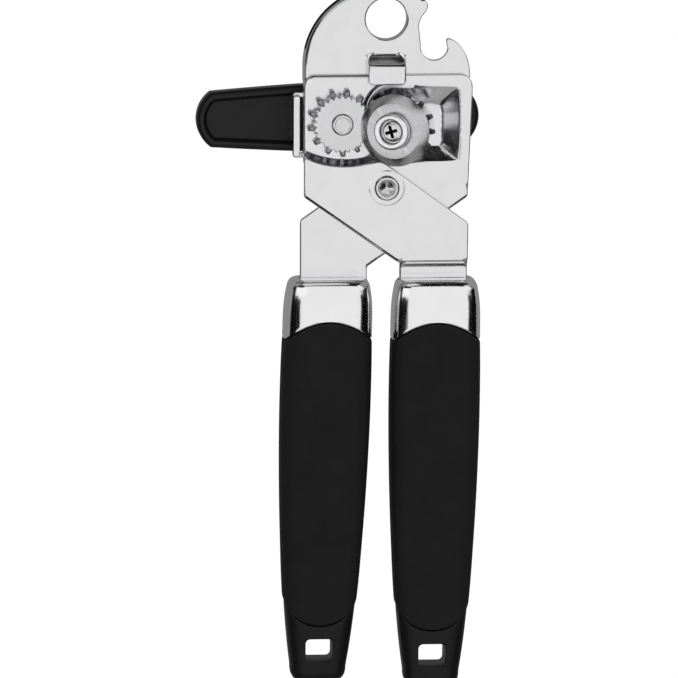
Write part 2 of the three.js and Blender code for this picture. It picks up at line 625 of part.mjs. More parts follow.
/** Everything nearer the head than a curve across the handle; lift gives its shape over the half width. */
function aboveCurve(handle, side, middle, lift, shift) {
  const outline = new THREE.Shape();
  const half = 13.6;
  const steps = 12;
  const centre = handle.centre + handle.lean * (side - LEAN_FROM);
  const place = (y) => placeAlong(handle, y) + shift;
  outline.moveTo(centre + 2 * half, CLEAR);
  outline.lineTo(centre - 2 * half, CLEAR);
  outline.lineTo(centre - 2 * half, place(side));
  for (let i = 0; i <= steps; i += 1) {
    const u = (2 * i) / steps - 1;
    outline.lineTo(centre + half * u, place(side + (middle - side) * lift(u)));
  }
  outline.lineTo(centre + 2 * half, place(side));
  outline.closePath();
  return slab(outline, [-CLEAR, CLEAR]);
}

function addHandle(handle) {
  const { name, centre, neck } = handle;
  const arch = (shift) => aboveCurve(handle, ARCH.foot, ARCH.crown, parabola, shift);
  const bowl = (shift) => aboveCurve(handle, GRIP_END.side, GRIP_END.middle, ellipse, shift);
  const whole = handleBody(handle, 0);
  const tangWidth = [centre - TANG.width / 2 - GAP, centre + TANG.width / 2 + GAP];
  const tangLayer = [JAW_LAYER[0] - GAP, JAW_LAYER[1] + GAP];
  const slot = join(
    block([neck[0] - GAP, neck[1] + GAP], [TANG.shoulder - 2 * GAP, 0], tangLayer),
    block(tangWidth, [TANG.foot - GAP, 0], tangLayer),
  );
  const pinHole = hole(centre, TANG.pin, TANG.pinRadius + GAP, 6);
  const socket = handleBody(handle, SKIN, SOCKET_TOP);

  addPiece(`${name}_collar`, cut(common(whole, arch(GAP / 2)), socket, slot), CHROME);
  addPiece(`${name}_grip`, cut(common(cut(whole, arch(-GAP / 2)), bowl(GAP / 2)), socket), SOFT_BLACK);

  const end = cut(handleBody(handle, END_INSET), bowl(-GAP / 2));
  const core = handleBody(handle, SKIN + GAP, SOCKET_TOP - 1.5);
  const loopX = centre + handle.lean * (LOOP.y - LEAN_FROM);
  const loopY = placeAlong(handle, LOOP.y);
  const loop = rounded([
    [loopX - LOOP.width / 2, loopY - LOOP.height / 2, LOOP.corner],
    [loopX + LOOP.width / 2, loopY - LOOP.height / 2, LOOP.corner],
    [loopX + LOOP.width / 2, loopY + LOOP.height / 2, LOOP.corner],
    [loopX - LOOP.width / 2, loopY + LOOP.height / 2, LOOP.corner],
  ]);
  const loopHole = slab(loop, [-CLEAR, CLEAR]);
  addPiece(`${name}_handle_core`, cut(join(end, core), slot, pinHole, loopHole), HARD_BLACK);

  const pinReach = 5.2;
  const pin = disc(TANG.pinRadius, [HANDLE_MIDDLE - pinReach, HANDLE_MIDDLE + pinReach], 16);
  addPiece(`${name}_tang_pin`, pin.translate(centre, TANG.pin, 0), SATIN_STEEL);
}
addHandle(LEFT_HANDLE);
addHandle(RIGHT_HANDLE);

export default canOpener;
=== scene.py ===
import json
import math

import bmesh
import bpy
import numpy as np
from mathutils import Matrix, Vector
from mathutils.geometry import delaunay_2d_cdt


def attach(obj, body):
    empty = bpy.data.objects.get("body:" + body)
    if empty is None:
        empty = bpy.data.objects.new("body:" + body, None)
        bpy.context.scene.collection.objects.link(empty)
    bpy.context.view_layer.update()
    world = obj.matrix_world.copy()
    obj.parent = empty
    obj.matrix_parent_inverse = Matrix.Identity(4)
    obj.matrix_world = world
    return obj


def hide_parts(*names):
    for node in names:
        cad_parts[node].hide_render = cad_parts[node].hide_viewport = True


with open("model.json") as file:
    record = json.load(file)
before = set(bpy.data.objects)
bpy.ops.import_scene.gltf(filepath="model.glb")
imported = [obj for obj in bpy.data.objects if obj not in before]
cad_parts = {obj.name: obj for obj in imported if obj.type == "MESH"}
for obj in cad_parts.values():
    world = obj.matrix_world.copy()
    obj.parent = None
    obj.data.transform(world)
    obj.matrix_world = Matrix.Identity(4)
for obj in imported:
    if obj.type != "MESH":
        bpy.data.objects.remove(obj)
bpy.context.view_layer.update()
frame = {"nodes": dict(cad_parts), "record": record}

# ------------------------------------------------------------------ dimensions, in millimetres
MM = 0.001
PIVOT = np.array([13.6, 45.95, 14.0])     # the lever pivot at the front face of the back plate: origin of every piece
GAP = 0.3
SHEET = 2.0
JAW_Z = 2.3                               # front face of the middle layer of sheet
FRONT_Z = 4.6                             # front face of the front layer
AXLE = (-13.6, 19.6)
CUTTER = (4.3, 18.4, 7.8)
CUTTER_TILT = math.radians(25)
HANG_HOLE = (0.2, 50.05, 6.2)
LOBE = (-1.1, 36.0, 23.5)
HEAD_LEFT, HEAD_RIGHT = LOBE[0] - LOBE[2], 25.3
NOTCH = (14.5, 41.8, 4.1)
JAW_TOP, JAW_LEFT, JAW_RIGHT = 33.6, -24.5, 25.8
JAW_TONGUE = -0.9
BAND_FOOT = 31.6
TAB = dict(left=-5.4, right=5.5, fold=40.0, knee=36.0, foot=30.8)
NECK_STEP = -22.0                         # where the drive lever steps back toward its handle
JOGGLE = dict(x=-12.4, y=33.8, inner=25.3, outer=27.7)
BITE = (3.0, 22.2, 9.9)
TEETH = 13
RIVET = 2.6
COLLAR_TOP = -27.1
SKIN = 2.4
HANDLE_MIDDLE = 1.3
SQUARENESS = 4.2
LEFT = dict(name="left", centre=-17.6, lean=0.027, drop=0.0, stretch=1.0, neck=(-25.7, -5.7), body="cutter_lever")
RIGHT = dict(name="right", centre=14.9, lean=0.011, drop=0.38, stretch=1.014, neck=(4.1, 24.3), body="drive_lever")
TANG = dict(half=7.0, foot=-75.0, shoulder=-32.4, pin=-58.0, pin_radius=1.8)

# ------------------------------------------------------------------ outlines in the plane


def arc(x, y, radius, start, end, step=0.5):
    """Points along a circular arc, from one angle to another in degrees."""
    count = max(6, int(abs(math.radians(end - start)) * radius / step))
    angles = np.radians(np.linspace(start, end, count + 1))
    return [(x + radius * math.cos(a), y + radius * math.sin(a)) for a in angles]


def circle(x, y, radius, step=0.5):
    return arc(x, y, radius, 0, 360, step)[:-1]


def bezier(*points, count=12):
    """A Bezier curve through its end points; the first point is left out."""
    p = np.array(points, float)
    out = []
    for t in np.linspace(0, 1, count + 1)[1:]:
        q = p
        while len(q) > 1:
            q = q[:-1] * (1 - t) + q[1:] * t
        out.append(tuple(q[0]))
    return out


def rounded(corners, steps=6):
    """A closed outline through corners (x, y, radius), each rounded by its radius."""
    out = []
    count = len(corners)
    for i, corner in enumerate(corners):
        x, y, radius = (tuple(corner) + (0,))[:3]
        here = np.array([x, y], float)
        before = np.array(corners[i - 1][:2], float) - here
        after = np.array(corners[(i + 1) % count][:2], float) - here
        if radius <= 0:
            out.append((x, y))
            continue
        before /= np.linalg.norm(before)
        after /= np.linalg.norm(after)
        half = math.acos(np.clip(before @ after, -1, 1)) / 2
        reach = radius / math.tan(half)
        start, end = here + before * reach, here + after * reach
        middle = before + after
        centre = here + middle / np.linalg.norm(middle) * radius / math.sin(half)
        a = math.atan2(*(start - centre)[::-1])
        b = math.atan2(*(end - centre)[::-1])
        sweep = math.atan2(math.sin(b - a), math.cos(b - a))
        for k in range(steps + 1):
            t = a + sweep * k / steps
            out.append((centre[0] + radius * math.cos(t), centre[1] + radius * math.sin(t)))
    return out


def contains(outline, points):
    """Which points lie inside a closed outline."""
    p = np.array(outline)
    q = np.roll(p, -1, 0)
    inside = np.zeros(len(points), bool)
    for (x0, y0), (x1, y1) in zip(p, q):
        crosses = (y0 > points[:, 1]) != (y1 > points[:, 1])
        if y1 != y0:
            inside ^= crosses & (points[:, 0] < (x1 - x0) * (points[:, 1] - y0) / (y1 - y0) + x0)
    return inside


def distance(polyline, points, closed=True):
    """Distance from each point to the nearest segment of a polyline."""
    p = np.array(polyline)
    a, b = (p, np.roll(p, -1, 0)) if closed else (p[:-1], p[1:])
    d = b - a
    best = np.full(len(points), 1e9)
    for k in range(len(a)):
        t = np.clip(((points - a[k]) @ d[k]) / max(d[k] @ d[k], 1e-12), 0, 1)
        best = np.minimum(best, np.linalg.norm(points - a[k] - t[:, None] * d[k], axis=1))
    return best


def smooth(t):
    t = np.clip(t, 0, 1)
    return t * t * (3 - 2 * t)


def triangulate(points, edges):
    verts, _, faces, *_ = delaunay_2d_cdt([Vector(p) for p in points], edges, [], 0, 1e-5, False)
    return np.array([tuple(v) for v in verts]), [tuple(f) for f in faces]


def region(outlines, rule, spacing=0.8):
    """Loops around the area where rule(inside of each outline) holds, with the material on their left."""
    points, edges = [], []
    for outline in outlines:
        first = len(points)
        points += [tuple(p) for p in outline]
        edges += [(first + i, first + (i + 1) % len(outline)) for i in range(len(outline))]
    verts, faces = triangulate(points, edges)
    centres = np.array([verts[list(f)].mean(0) for f in faces])
    keep = rule(*[contains(outline, centres) for outline in outlines])
    border = {}
    for f, k in zip(faces, keep):
        if k:
            for a, b in zip(f, f[1:] + f[:1]):
                border[(a, b)] = True
    border = {e for e in border if (e[1], e[0]) not in border}
    follow = dict(border)
    loops = []
    while follow:
        start, here = next(iter(follow.items()))
        del follow[start]
        loop = [start]
        while here != start:
            loop.append(here)
            here = follow.pop(here)
        loops.append(even(verts[loop], spacing))
    return loops


def even(loop, spacing):
    """Drops points that crowd each other, and divides long straights."""
    kept = [loop[0]]
    for i in range(1, len(loop)):
        turn = 1.0
        if i + 1 < len(loop):
            u, v = loop[i] - kept[-1], loop[(i + 1) % len(loop)] - loop[i]
            turn = abs(u[0] * v[1] - u[1] * v[0]) / max(np.linalg.norm(u) * np.linalg.norm(v), 1e-12)
        if np.linalg.norm(loop[i] - kept[-1]) > (0.04 if turn > 0.3 else 0.18):
            kept.append(loop[i])
    if np.linalg.norm(kept[0] - kept[-1]) < 0.04:
        kept.pop()
    out = []
    for a, b in zip(kept, kept[1:] + kept[:1]):
        parts = max(1, int(np.linalg.norm(b - a) / spacing))
        out += [a + (b - a) * k / parts for k in range(parts)]
    return np.array(out)


# ------------------------------------------------------------------ solids


def new_piece(name, points, faces, sharp=35):
    """A mesh object from local millimetres, shaded smooth up to an angle in degrees."""
    mesh = bpy.data.meshes.new(name)
    mesh.from_pydata([tuple((np.array(p) + PIVOT) * MM) for p in points], [], [tuple(f) for f in faces])
    bm = bmesh.new()
    bm.from_mesh(mesh)
    bmesh.ops.remove_doubles(bm, verts=bm.verts, dist=1e-7)
    bmesh.ops.dissolve_degenerate(bm, edges=bm.edges, dist=1e-8)
    bmesh.ops.recalc_face_normals(bm, faces=bm.faces)
    bm.to_mesh(mesh)
    bm.free()
    mesh.shade_smooth()
    mesh.set_sharp_from_angle(angle=math.radians(sharp))
    piece = bpy.data.objects.new(name, mesh)
    bpy.context.scene.collection.objects.link(piece)
    return piece


def inward(loop):
    """The direction into the material at each point of a loop, lengthened at corners to keep the inset even."""
    ahead = np.roll(loop, -1, 0) - loop
    ahead /= np.linalg.norm(ahead, axis=1)[:, None]
    behind = np.roll(ahead, 1, 0)
    normal = np.stack([-(ahead + behind)[:, 1], (ahead + behind)[:, 0]], 1)
    normal /= np.maximum(np.linalg.norm(normal, axis=1), 1e-9)[:, None]
    straight = np.stack([-ahead[:, 1], ahead[:, 0]], 1)
    return normal / np.clip((normal * straight).sum(1), 0.55, 1)[:, None]


def edge_profile(front=0.3, back=0.3):
    """Rounded edges as rows of (inset, measured from the front face or the back face, height)."""
    rows = [(front + 0.2, 0, 0), (front, 0, 0)]
    for a in (30, 60, 90):
        rows.append((front * (1 - math.sin(math.radians(a))), 0, -front * (1 - math.cos(math.radians(a)))))
    for a in (90, 45):
        rows.append((back * (1 - math.sin(math.radians(a))), 1, back * (1 - math.cos(math.radians(a)))))
    return rows + [(back, 1, 0), (back + 0.2, 1, 0)]


def sheet(name, loops, front, back, profile=None, creases=(), grid=1.2, sharp=35):
    """A pressed sheet: an area with height functions for its two faces and rounded edges.
    profile(loop number, points) may give each point its own rows of the edge."""
    rows = profile or (lambda number, points: [np.array([row] * len(points)) for row in edge_profile()])
    points, faces = [], []
    ends = {0: [], 1: []}
    for number, loop in enumerate(loops):
        direction = inward(loop)
        previous = None
        table = rows(number, loop)
        for r, row in enumerate(table):
            xy = loop + direction * row[:, :1]
            z = np.where(row[:, 1] < 0.5, front(xy[:, 0], xy[:, 1]), back(xy[:, 0], xy[:, 1])) + row[:, 2]
            first = len(points)
            points += [(*p, h) for p, h in zip(xy, z)]
            ids = list(range(first, first + len(loop)))
            if previous is not None:
                for i in range(len(ids)):
                    j = (i + 1) % len(ids)
                    faces.append((previous[i], ids[i], ids[j], previous[j]))
            previous = ids
            if r == 0:
                ends[0].append((xy, ids))
            if r == len(table) - 1:
                ends[1].append((xy, ids))
    for side, height in ((0, front), (1, back)):
        flat, known, edges = [], [], []
        for xy, ids in ends[side]:
            first = len(flat)
            flat += [tuple(p) for p in xy]
            known += ids
            edges += [(first + i, first + (i + 1) % len(ids)) for i in range(len(ids))]
        borders = [xy for xy, _ in ends[side]]

        def within(p):
            inside = np.zeros(len(p), bool)
            for xy in borders:
                inside ^= contains(xy, p)
            return inside

        def clear(p, margin):
            return within(p) & (np.min([distance(xy, p) for xy in borders], axis=0) > margin)

        low, high = np.min([b.min(0) for b in borders], 0), np.max([b.max(0) for b in borders], 0)
        extra = []
        for line in creases:
            line = np.array(line)
            line = line[clear(line, 0.15)]
            extra.append(line)
            for i, p in enumerate(line):
                flat.append(tuple(p))
                known.append(None)
                if i and np.linalg.norm(line[i] - line[i - 1]) < 1.3:
                    edges.append((len(flat) - 2, len(flat) - 1))
        xs, ys = np.arange(low[0], high[0], grid), np.arange(low[1], high[1], grid * 0.87)
        lattice = np.array([(x + (grid / 2 if j % 2 else 0), y) for j, y in enumerate(ys) for x in xs])
        lattice = lattice[clear(lattice, 0.45 * grid)]
        for line in extra:
            if len(line) > 1 and len(lattice):
                lattice = lattice[np.min(np.linalg.norm(lattice[:, None] - line[None], axis=2), axis=1) > 0.5 * grid]
        flat += [tuple(p) for p in lattice]
        known += [None] * len(lattice)
        verts, triangles = triangulate(flat, edges)
        near = {}
        for index, p in zip(known, flat):
            if index is not None:
                near[(round(p[0], 3), round(p[1], 3))] = index
        ids = []
        z = height(verts[:, 0], verts[:, 1])
        for p, h in zip(verts, z):
            found = near.get((round(p[0], 3), round(p[1], 3)))
            if found is None:
                found = len(points)
                points.append((p[0], p[1], h))
            ids.append(found)
        centres = np.array([verts[list(t)].mean(0) for t in triangles])
        for t, keep in zip(triangles, within(centres)):
            if keep:
                faces.append([ids[k] for k in (t if side == 0 else t[::-1])])
    return new_piece(name, points, faces, sharp)


def flat(height):
    return lambda x, y: np.full(len(x), float(height))


def on_axle(p):
    return np.array([p[0] + AXLE[0], p[1] + AXLE[1], p[2]])


def on_cutter(p):
    """From the leaning cutter axis, with the gear's middle at height 0, to the local frame."""
    c, s = math.cos(CUTTER_TILT), math.sin(CUTTER_TILT)
    return np.array([p[0] * c - p[2] * s + CUTTER[0], p[1] + CUTTER[1], p[0] * s + p[2] * c + CUTTER[2]])


def turned(name, profile, place=lambda p: p, sides=96, sharp=35):
    """A profile of (radius, height, corner radius) turned about its axis. It closes on itself or on the axis."""
    open_ends = profile[0][0] == 0 and profile[-1][0] == 0
    rim = rounded(profile, 4)
    points, faces, rings = [], [], []
    for radius, height in rim:
        if radius < 1e-6:
            rings.append([len(points)])
            points.append(place((0, 0, height)))
        else:
            rings.append(list(range(len(points), len(points) + sides)))
            for k in range(sides):
                a = 2 * math.pi * k / sides
                points.append(place((radius * math.cos(a), radius * math.sin(a), height)))
    pairs = list(zip(rings, rings[1:])) + ([] if open_ends else [(rings[-1], rings[0])])
    for a, b in pairs:
        for k in range(sides):
            j = (k + 1) % sides
            quad = [a[k % len(a)], a[j % len(a)], b[j % len(b)], b[k % len(b)]]
            face = list(dict.fromkeys(quad))
            if len(face) > 2:
                faces.append(face)
    return new_piece(name, points, faces, sharp)


def move(piece, place):
    """Puts a piece made about its own axis where it belongs."""
    for v in piece.data.vertices:
        v.co = Vector((place(np.array(v.co) / MM - PIVOT) + PIVOT) * MM)
    piece.data.update()
    return piece


def carve(piece, tools, operation="DIFFERENCE"):
    """Joins tools to a piece or cuts them out of it."""
    for tool in tools:
        modifier = piece.modifiers.new("carve", "BOOLEAN")
        modifier.operation, modifier.solver, modifier.object = operation, "EXACT", tool
    made = bpy.data.meshes.new_from_object(piece.evaluated_get(bpy.context.evaluated_depsgraph_get()))
    piece.modifiers.clear()
    old, piece.data = piece.data, made
    bpy.data.meshes.remove(old)
    for tool in tools:
        bpy.data.objects.remove(tool)
    piece.data.shade_smooth()
    piece.data.set_sharp_from_angle(angle=math.radians(35))
    return piece


# ------------------------------------------------------------------ materials


def material(name):
    made = bpy.data.materials.new(name)
    made.use_nodes = True
    nodes, links = made.node_tree.nodes, made.node_tree.links
    shader = nodes["Principled BSDF"]
    place = nodes.new("ShaderNodeTexCoord")

    def node(kind, inputs=(), **settings):
        n = nodes.new(kind)
        for key, value in settings.items():
            setattr(n, key, value)
        for key, value in dict(inputs).items():
            if isinstance(value, bpy.types.NodeSocket):
                links.new(value, n.inputs[key])
            else:
                n.inputs[key].default_value = value
        return n

    def noise(scale, detail=3.0, roughness=0.55, stretch=None):
        vector = place.outputs["Object"]
        if stretch:
            vector = node("ShaderNodeMapping", {"Vector": vector, "Scale": stretch}).outputs[0]
        return node("ShaderNodeTexNoise", {"Vector": vector, "Scale": scale, "Detail": detail,
                                           "Roughness": roughness}).outputs["Fac"]

    def spread(value, low, high, to_low, to_high):
        return node("ShaderNodeMapRange", {0: value, 1: low, 2: high, 3: to_low, 4: to_high}).outputs[0]

    def mix(factor, a, b):
        n = node("ShaderNodeMix", data_type="RGBA")
        for socket, value in ((n.inputs[0], factor), (n.inputs[6], a), (n.inputs[7], b)):
            if isinstance(value, bpy.types.NodeSocket):
                links.new(value, socket)
            else:
                socket.default_value = value
        return n.outputs[2]

    def bump(height, strength, depth, normal=None):
        inputs = {"Height": height, "Strength": strength, "Distance": depth}
        if normal is not None:
            inputs["Normal"] = normal
        return node("ShaderNodeBump", inputs).outputs[0]

    def use(**sockets):
        for key, value in sockets.items():
            socket = shader.inputs[key.replace("_", " ")]
            if isinstance(value, bpy.types.NodeSocket):
                links.new(value, socket)
            else:
                socket.default_value = value

    edge = node("ShaderNodeNewGeometry").outputs["Pointiness"]
    return made, noise, spread, mix, bump, use, edge


def metal(name, tone, rough, grain, stretch=None, worn=0.05):
    """Plated or turned metal: fine grain, cloudy polish, and rubbed edges."""
    made, noise, spread, mix, bump, use, edge = material(name)
    cloud = spread(noise(140, 4), 0.3, 0.7, 0, 1)
    rubbed = spread(edge, 0.52, 0.62, 0, 1)
    light = tuple(min(1, c + worn) for c in tone) + (1,)
    dark = tuple(c - 0.03 for c in tone) + (1,)
    base = mix(cloud, dark, tuple(tone) + (1,))
    use(Base_Color=mix(rubbed, base, light), Metallic=1.0)
    use(Roughness=spread(noise(900, 5, 0.6, stretch), 0.3, 0.7, rough - 0.05, rough + 0.06))
    fine = bump(noise(5200, 2, 0.6, stretch), grain, 0.00002)
    use(Normal=bump(noise(420, 3, 0.5), 0.05, 0.00006, fine))
    return made


def plastic(name, tone, rough, specular, grain, depth):
    """Moulded plastic or rubber: fine texture, handling polish, and paler edges."""
    made, noise, spread, mix, bump, use, edge = material(name)
    cloud = spread(noise(90, 4), 0.3, 0.7, 0, 1)
    rubbed = spread(edge, 0.51, 0.6, 0, 0.6)
    light = tuple(c * 1.9 + 0.004 for c in tone) + (1,)
    dark = tuple(c * 0.8 for c in tone) + (1,)
    use(Base_Color=mix(rubbed, mix(cloud, dark, tuple(tone) + (1,)), light))
    use(Roughness=spread(noise(260, 5, 0.6), 0.3, 0.7, rough - 0.06, rough + 0.07))
    use(Specular_IOR_Level=specular)
    use(Normal=bump(noise(grain, 3, 0.65), 0.35, depth))
    return made


finishes = {
    "chrome_plate": metal("bright_plate", (0.84, 0.84, 0.85), 0.17, 0.22),
    "satin_steel": metal("turned_steel", (0.74, 0.74, 0.75), 0.22, 0.2),
    "tool_steel": metal("hardened_steel", (0.62, 0.62, 0.63), 0.24, 0.25),
    "bronze": metal("sintered_bronze", (0.6, 0.45, 0.25), 0.4, 0.5),
    "gloss_black_plastic": plastic("moulded_gloss_black", (0.008, 0.008, 0.009), 0.28, 0.22, 2200, 0.00001),
    "hard_black_plastic": plastic("moulded_satin_black", (0.007, 0.007, 0.0075), 0.38, 0.2, 2600, 0.00002),
    "soft_grip": plastic("soft_touch_black", (0.011, 0.011, 0.0115), 0.66, 0.16, 3400, 0.00005),
}
node_slot = {row["node"]: row["material_slot"] for row in frame["record"]["subparts"]}
node_body = {n: body for body, members in frame["record"]["behaviour"]["bodies"].items() for n in members}


gear_finish = metal("blued_gear_steel", (0.36, 0.36, 0.37), 0.3, 0.3)
# Darker copy of the gear steel: painted shade for the disc gear, which sits in shadow under the cutting disc.
painted_shade_gear_finish = metal("gear_steel_painted_shade", (0.17, 0.17, 0.175), 0.36, 0.3)
bolster_finish = metal("polished_bolster", (0.93, 0.93, 0.94), 0.13, 0.12, (1.0, 0.08, 1.0), 0.02)


def finish_piece(piece, *nodes, look=None):
    """Gives a piece its finish, its body and the CAD nodes that it stands for."""
    slot = node_slot[nodes[0]]
    piece.data.materials.clear()
    piece.data.materials.append(look or finishes[slot])
    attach(piece, node_body[nodes[0]])
    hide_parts(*nodes)
    return piece


for name, part in frame["nodes"].items():
    part.data.materials.clear()
    part.data.materials.append(finishes[node_slot[name]])

# ------------------------------------------------------------------ back plate with its tab


def back_plate_outline():
    x, y, r = LOBE
    nx, ny, nr = NOTCH
    out = [(HEAD_LEFT, 8.0), (HEAD_LEFT, y)] + arc(x, y, r, 180, 57.5)
    out += bezier(out[-1], (13.6, 54.2), (11.6, 51.8))
    out += bezier(out[-1], (10.1, 50.0), (9.7, 48.6), (10.0, 46.6))
    out += [(10.45, ny + 0.4)] + arc(nx, ny, nr, 180, 350)
    out += bezier(out[-1], (18.1, 42.9), (18.1, 43.6), count=4)
    out += bezier(out[-1], (18.3, 44.3), (19.4, 44.0), count=6)
    out += bezier(out[-1], (23.2, 42.4), (HEAD_RIGHT, 38.0), (HEAD_RIGHT, BAND_FOOT + 1))
    out += [(HEAD_RIGHT - 1, BAND_FOOT), (TAB["left"], BAND_FOOT)]
    out += arc(BITE[0], BITE[1], BITE[2] + GAP, 130, 244)
    out += [(JAW_TONGUE, 6.7)] + arc(0, 0, 6.7, 90, -120)
    return out + [(HEAD_LEFT + 2, 5.4)] + bezier((HEAD_LEFT + 2, 5.4), (HEAD_LEFT, 6.0), (HEAD_LEFT, 8.0), count=5)[:-1]


def tab_height(x, y):
    """Front face of the back plate, with the tab folded forward."""
    on_tab = (x > TAB["left"] - 0.2) & (x < TAB["right"] + 0.2) & (y < TAB["fold"]) & (y > TAB["foot"] - 0.5)
    rise = smooth((TAB["fold"] - y) / (TAB["fold"] - TAB["knee"]))
    return np.where(on_tab, FRONT_Z * rise, 0.0)


def rimmed(depth, wall, turn):
    """Rows of an edge that turns back by a depth, as a wall of a given thickness."""
    rows = [(turn + 0.2, 0, 0), (turn, 0, 0)]
    for a in (30, 60, 90):
        rows.append((turn * (1 - math.sin(math.radians(a))), 0, -turn * (1 - math.cos(math.radians(a)))))
    rows += [(0, 0, -depth + 0.35), (0.35, 0, -depth), (wall - 0.2, 0, -depth), (wall, 0, -depth + 0.2)]
    return rows + [(wall, 0, -SHEET - 0.3), (wall + 0.4, 0, -SHEET)]


def plain_rows():
    rows = edge_profile(0.3, 0.3)
    return rows[:5] + [(0, 0, -SHEET + 0.3)] * 2 + [(0.05, 0, -SHEET + 0.15), (0.15, 0, -SHEET + 0.05),
                                                    (0.3, 0, -SHEET), (0.5, 0, -SHEET)]


def blended(rows, others, share):
    """Rows of an edge that change from one set to another along the loop."""
    share = share[:, None]
    return [np.array(a, float) * (1 - share) + np.array(b, float) * share for a, b in zip(rows, others)]


def back_plate_edges(number, loop):
    centre = loop.mean(0)
    along_lobe = (np.abs(np.hypot(loop[:, 0] - LOBE[0], loop[:, 1] - LOBE[1]) - LOBE[2]) < 0.05) & (loop[:, 1] > 36)
    along_left = (np.abs(loop[:, 0] - HEAD_LEFT) < 0.05) & (loop[:, 1] > 31)
    share = (along_lobe | along_left).astype(float)
    if np.linalg.norm(centre - np.array(HANG_HOLE[:2])) < 1:
        share[:] = 1.0
    for _ in range(2):
        share = np.minimum(share, (np.roll(share, 1) + share + np.roll(share, -1)) / 3 * 1.0001)
    return blended(plain_rows(), rimmed(5.0, 1.4, 0.5 if share.min() == 1 else 1.3), share)


window = rounded([(TAB["left"] - 0.15, TAB["foot"] - 4), (TAB["right"] + 0.15, TAB["foot"] - 4),
                  (TAB["right"] + 0.15, TAB["fold"], 1.8), (TAB["left"] - 0.15, TAB["fold"], 1.8)])
tongue = rounded([(TAB["left"], TAB["foot"], 1.3), (TAB["right"], TAB["foot"], 1.3),
                  (TAB["right"], TAB["fold"] - 1.7, 1.6), (TAB["right"] - 1.7, TAB["fold"] + 0.1),
                  (TAB["right"] - 1.7, TAB["fold"] + 3), (TAB["left"] + 1.7, TAB["fold"] + 3),
                  (TAB["left"] + 1.7, TAB["fold"] + 0.1), (TAB["left"], TAB["fold"] - 1.7, 1.6)])
back_loops = region(
    [back_plate_outline(), circle(*HANG_HOLE), circle(*AXLE, 4.2), circle(0, 0, RIVET + GAP), window, tongue],
    lambda plate, hang, axle, rivet, lanced, tab:
        (plate | tab) & ~hang & ~axle & ~rivet & ~(lanced & ~tab))
tab_lines = [[(x, y) for x in np.arange(TAB["left"], TAB["right"], 0.7)]
             for y in np.linspace(TAB["knee"] - 0.2, TAB["fold"], 13)]
finish_piece(sheet("head_plate", back_loops, tab_height, lambda x, y: tab_height(x, y) - SHEET,
                   back_plate_edges, tab_lines, sharp=50), "back_plate")

# ------------------------------------------------------------------ bracket behind the head
bracket_front = flat(-SHEET - GAP)
bracket_loops = region(
    [rounded([(-27.6, 8.4, 1), (-4, 8.4, 1), (-4, 28.0, 1), (-27.6, 28.0, 1)]), circle(*AXLE, 4.2),
     circle(BITE[0], BITE[1], BITE[2] + GAP), rounded([(-25.6, 9.8, 0.3), (-24.6, 9.8, 0.3), (-24.6, 26.6, 0.3), (-25.6, 26.6, 0.3)])],
    lambda plate, axle, bite, slot: plate & ~axle & ~bite & ~slot)
bracket = sheet("bearing_plate", bracket_loops, bracket_front, flat(-2 * SHEET - GAP), grid=2.0)
lip_loop = region([rounded([(-27.6, 9.0, 0.5), (-25.6, 9.0, 0.5), (-25.6, 27.2, 0.5), (-27.6, 27.2, 0.5)])], lambda a: a)
lip = sheet("lip", lip_loop, flat(0.4), flat(-2 * SHEET - GAP + 0.2), grid=0.6)
finish_piece(carve(bracket, [lip], "UNION"), "bearing_bracket")

# ------------------------------------------------------------------ drive lever


def tang_outline(handle, top):
    centre, (left, right), half = handle["centre"], handle["neck"], TANG["half"]
    return rounded([(left, top), (left, TANG["shoulder"], 1.5), (centre - half, TANG["shoulder"]),
                    (centre - half, TANG["foot"], 2), (centre + half, TANG["foot"], 2),
                    (centre + half, TANG["shoulder"]), (right, TANG["shoulder"], 1.5), (right, top)])


def neck_fall(y):
    """Share of the step back from the front layer to the middle of the handle."""
    return 0.42 * smooth((NECK_STEP + 0.1 - y) / 0.55) + 0.58 * smooth((NECK_STEP - 0.85 - y) / 1.3)


def neck_ripple(x, y):
    """Faint press marks across the neck, between its step and the collar."""
    along = smooth((-24.2 - y) / 0.8) * (1 - smooth((-30.5 - y) / 1.0)) * (x > 3)
    return 0.045 * along * np.sin(3.9 * y + 0.9 * np.sin(0.21 * x) + 0.05 * x)


def drive_height(x, y):
    share = (np.hypot(x - JOGGLE["x"], y - JOGGLE["y"]) - JOGGLE["inner"]) / (JOGGLE["outer"] - JOGGLE["inner"])
    rise = 0.75 * np.clip(share, 0, 1) + 0.25 * smooth(share)
    boss = 0.12 * (1 - smooth((np.hypot(x, y) - 5.0) / 0.4))
    return JAW_Z + (FRONT_Z - JAW_Z) * rise * (1 - neck_fall(y)) + boss * rise + neck_ripple(x, y)


left_jaw = rounded([(JAW_LEFT, 6), (JAW_TONGUE, 6), (JAW_TONGUE, JAW_TOP, 1), (JAW_LEFT, JAW_TOP, 3.1)])
front_plate = rounded([(JAW_LEFT - 0.2, 20), (JAW_LEFT - 0.2, -2.7, 1.2), (2.7, -22.0, 1), (4.1, -22.9, 0.8), (4.1, -30),
                       (24.3, -30), (24.3, -23), (24.5, -10.8, 1.6), (JAW_TONGUE, 7.7), (JAW_TONGUE, 20)])
joggle_middle = (JOGGLE["inner"] + JOGGLE["outer"]) / 2
drive_loops = region(
    [left_jaw, circle(JOGGLE["x"], JOGGLE["y"], joggle_middle), front_plate, tang_outline(RIGHT, -27),
     circle(*BITE), circle(*AXLE, 4.2), circle(0, 0, RIVET + GAP), circle(RIGHT["centre"], TANG["pin"], 2.1)],
    lambda jaw, reach, front, tang, bite, axle, rivet, pin:
        ((jaw & reach) | (front & ~reach) | tang) & ~(bite & jaw & reach) & ~axle & ~rivet & ~pin)
joggle_lines = [arc(JOGGLE["x"], JOGGLE["y"], r, -125, -55, 0.7) for r in np.linspace(25.1, 27.9, 9)]
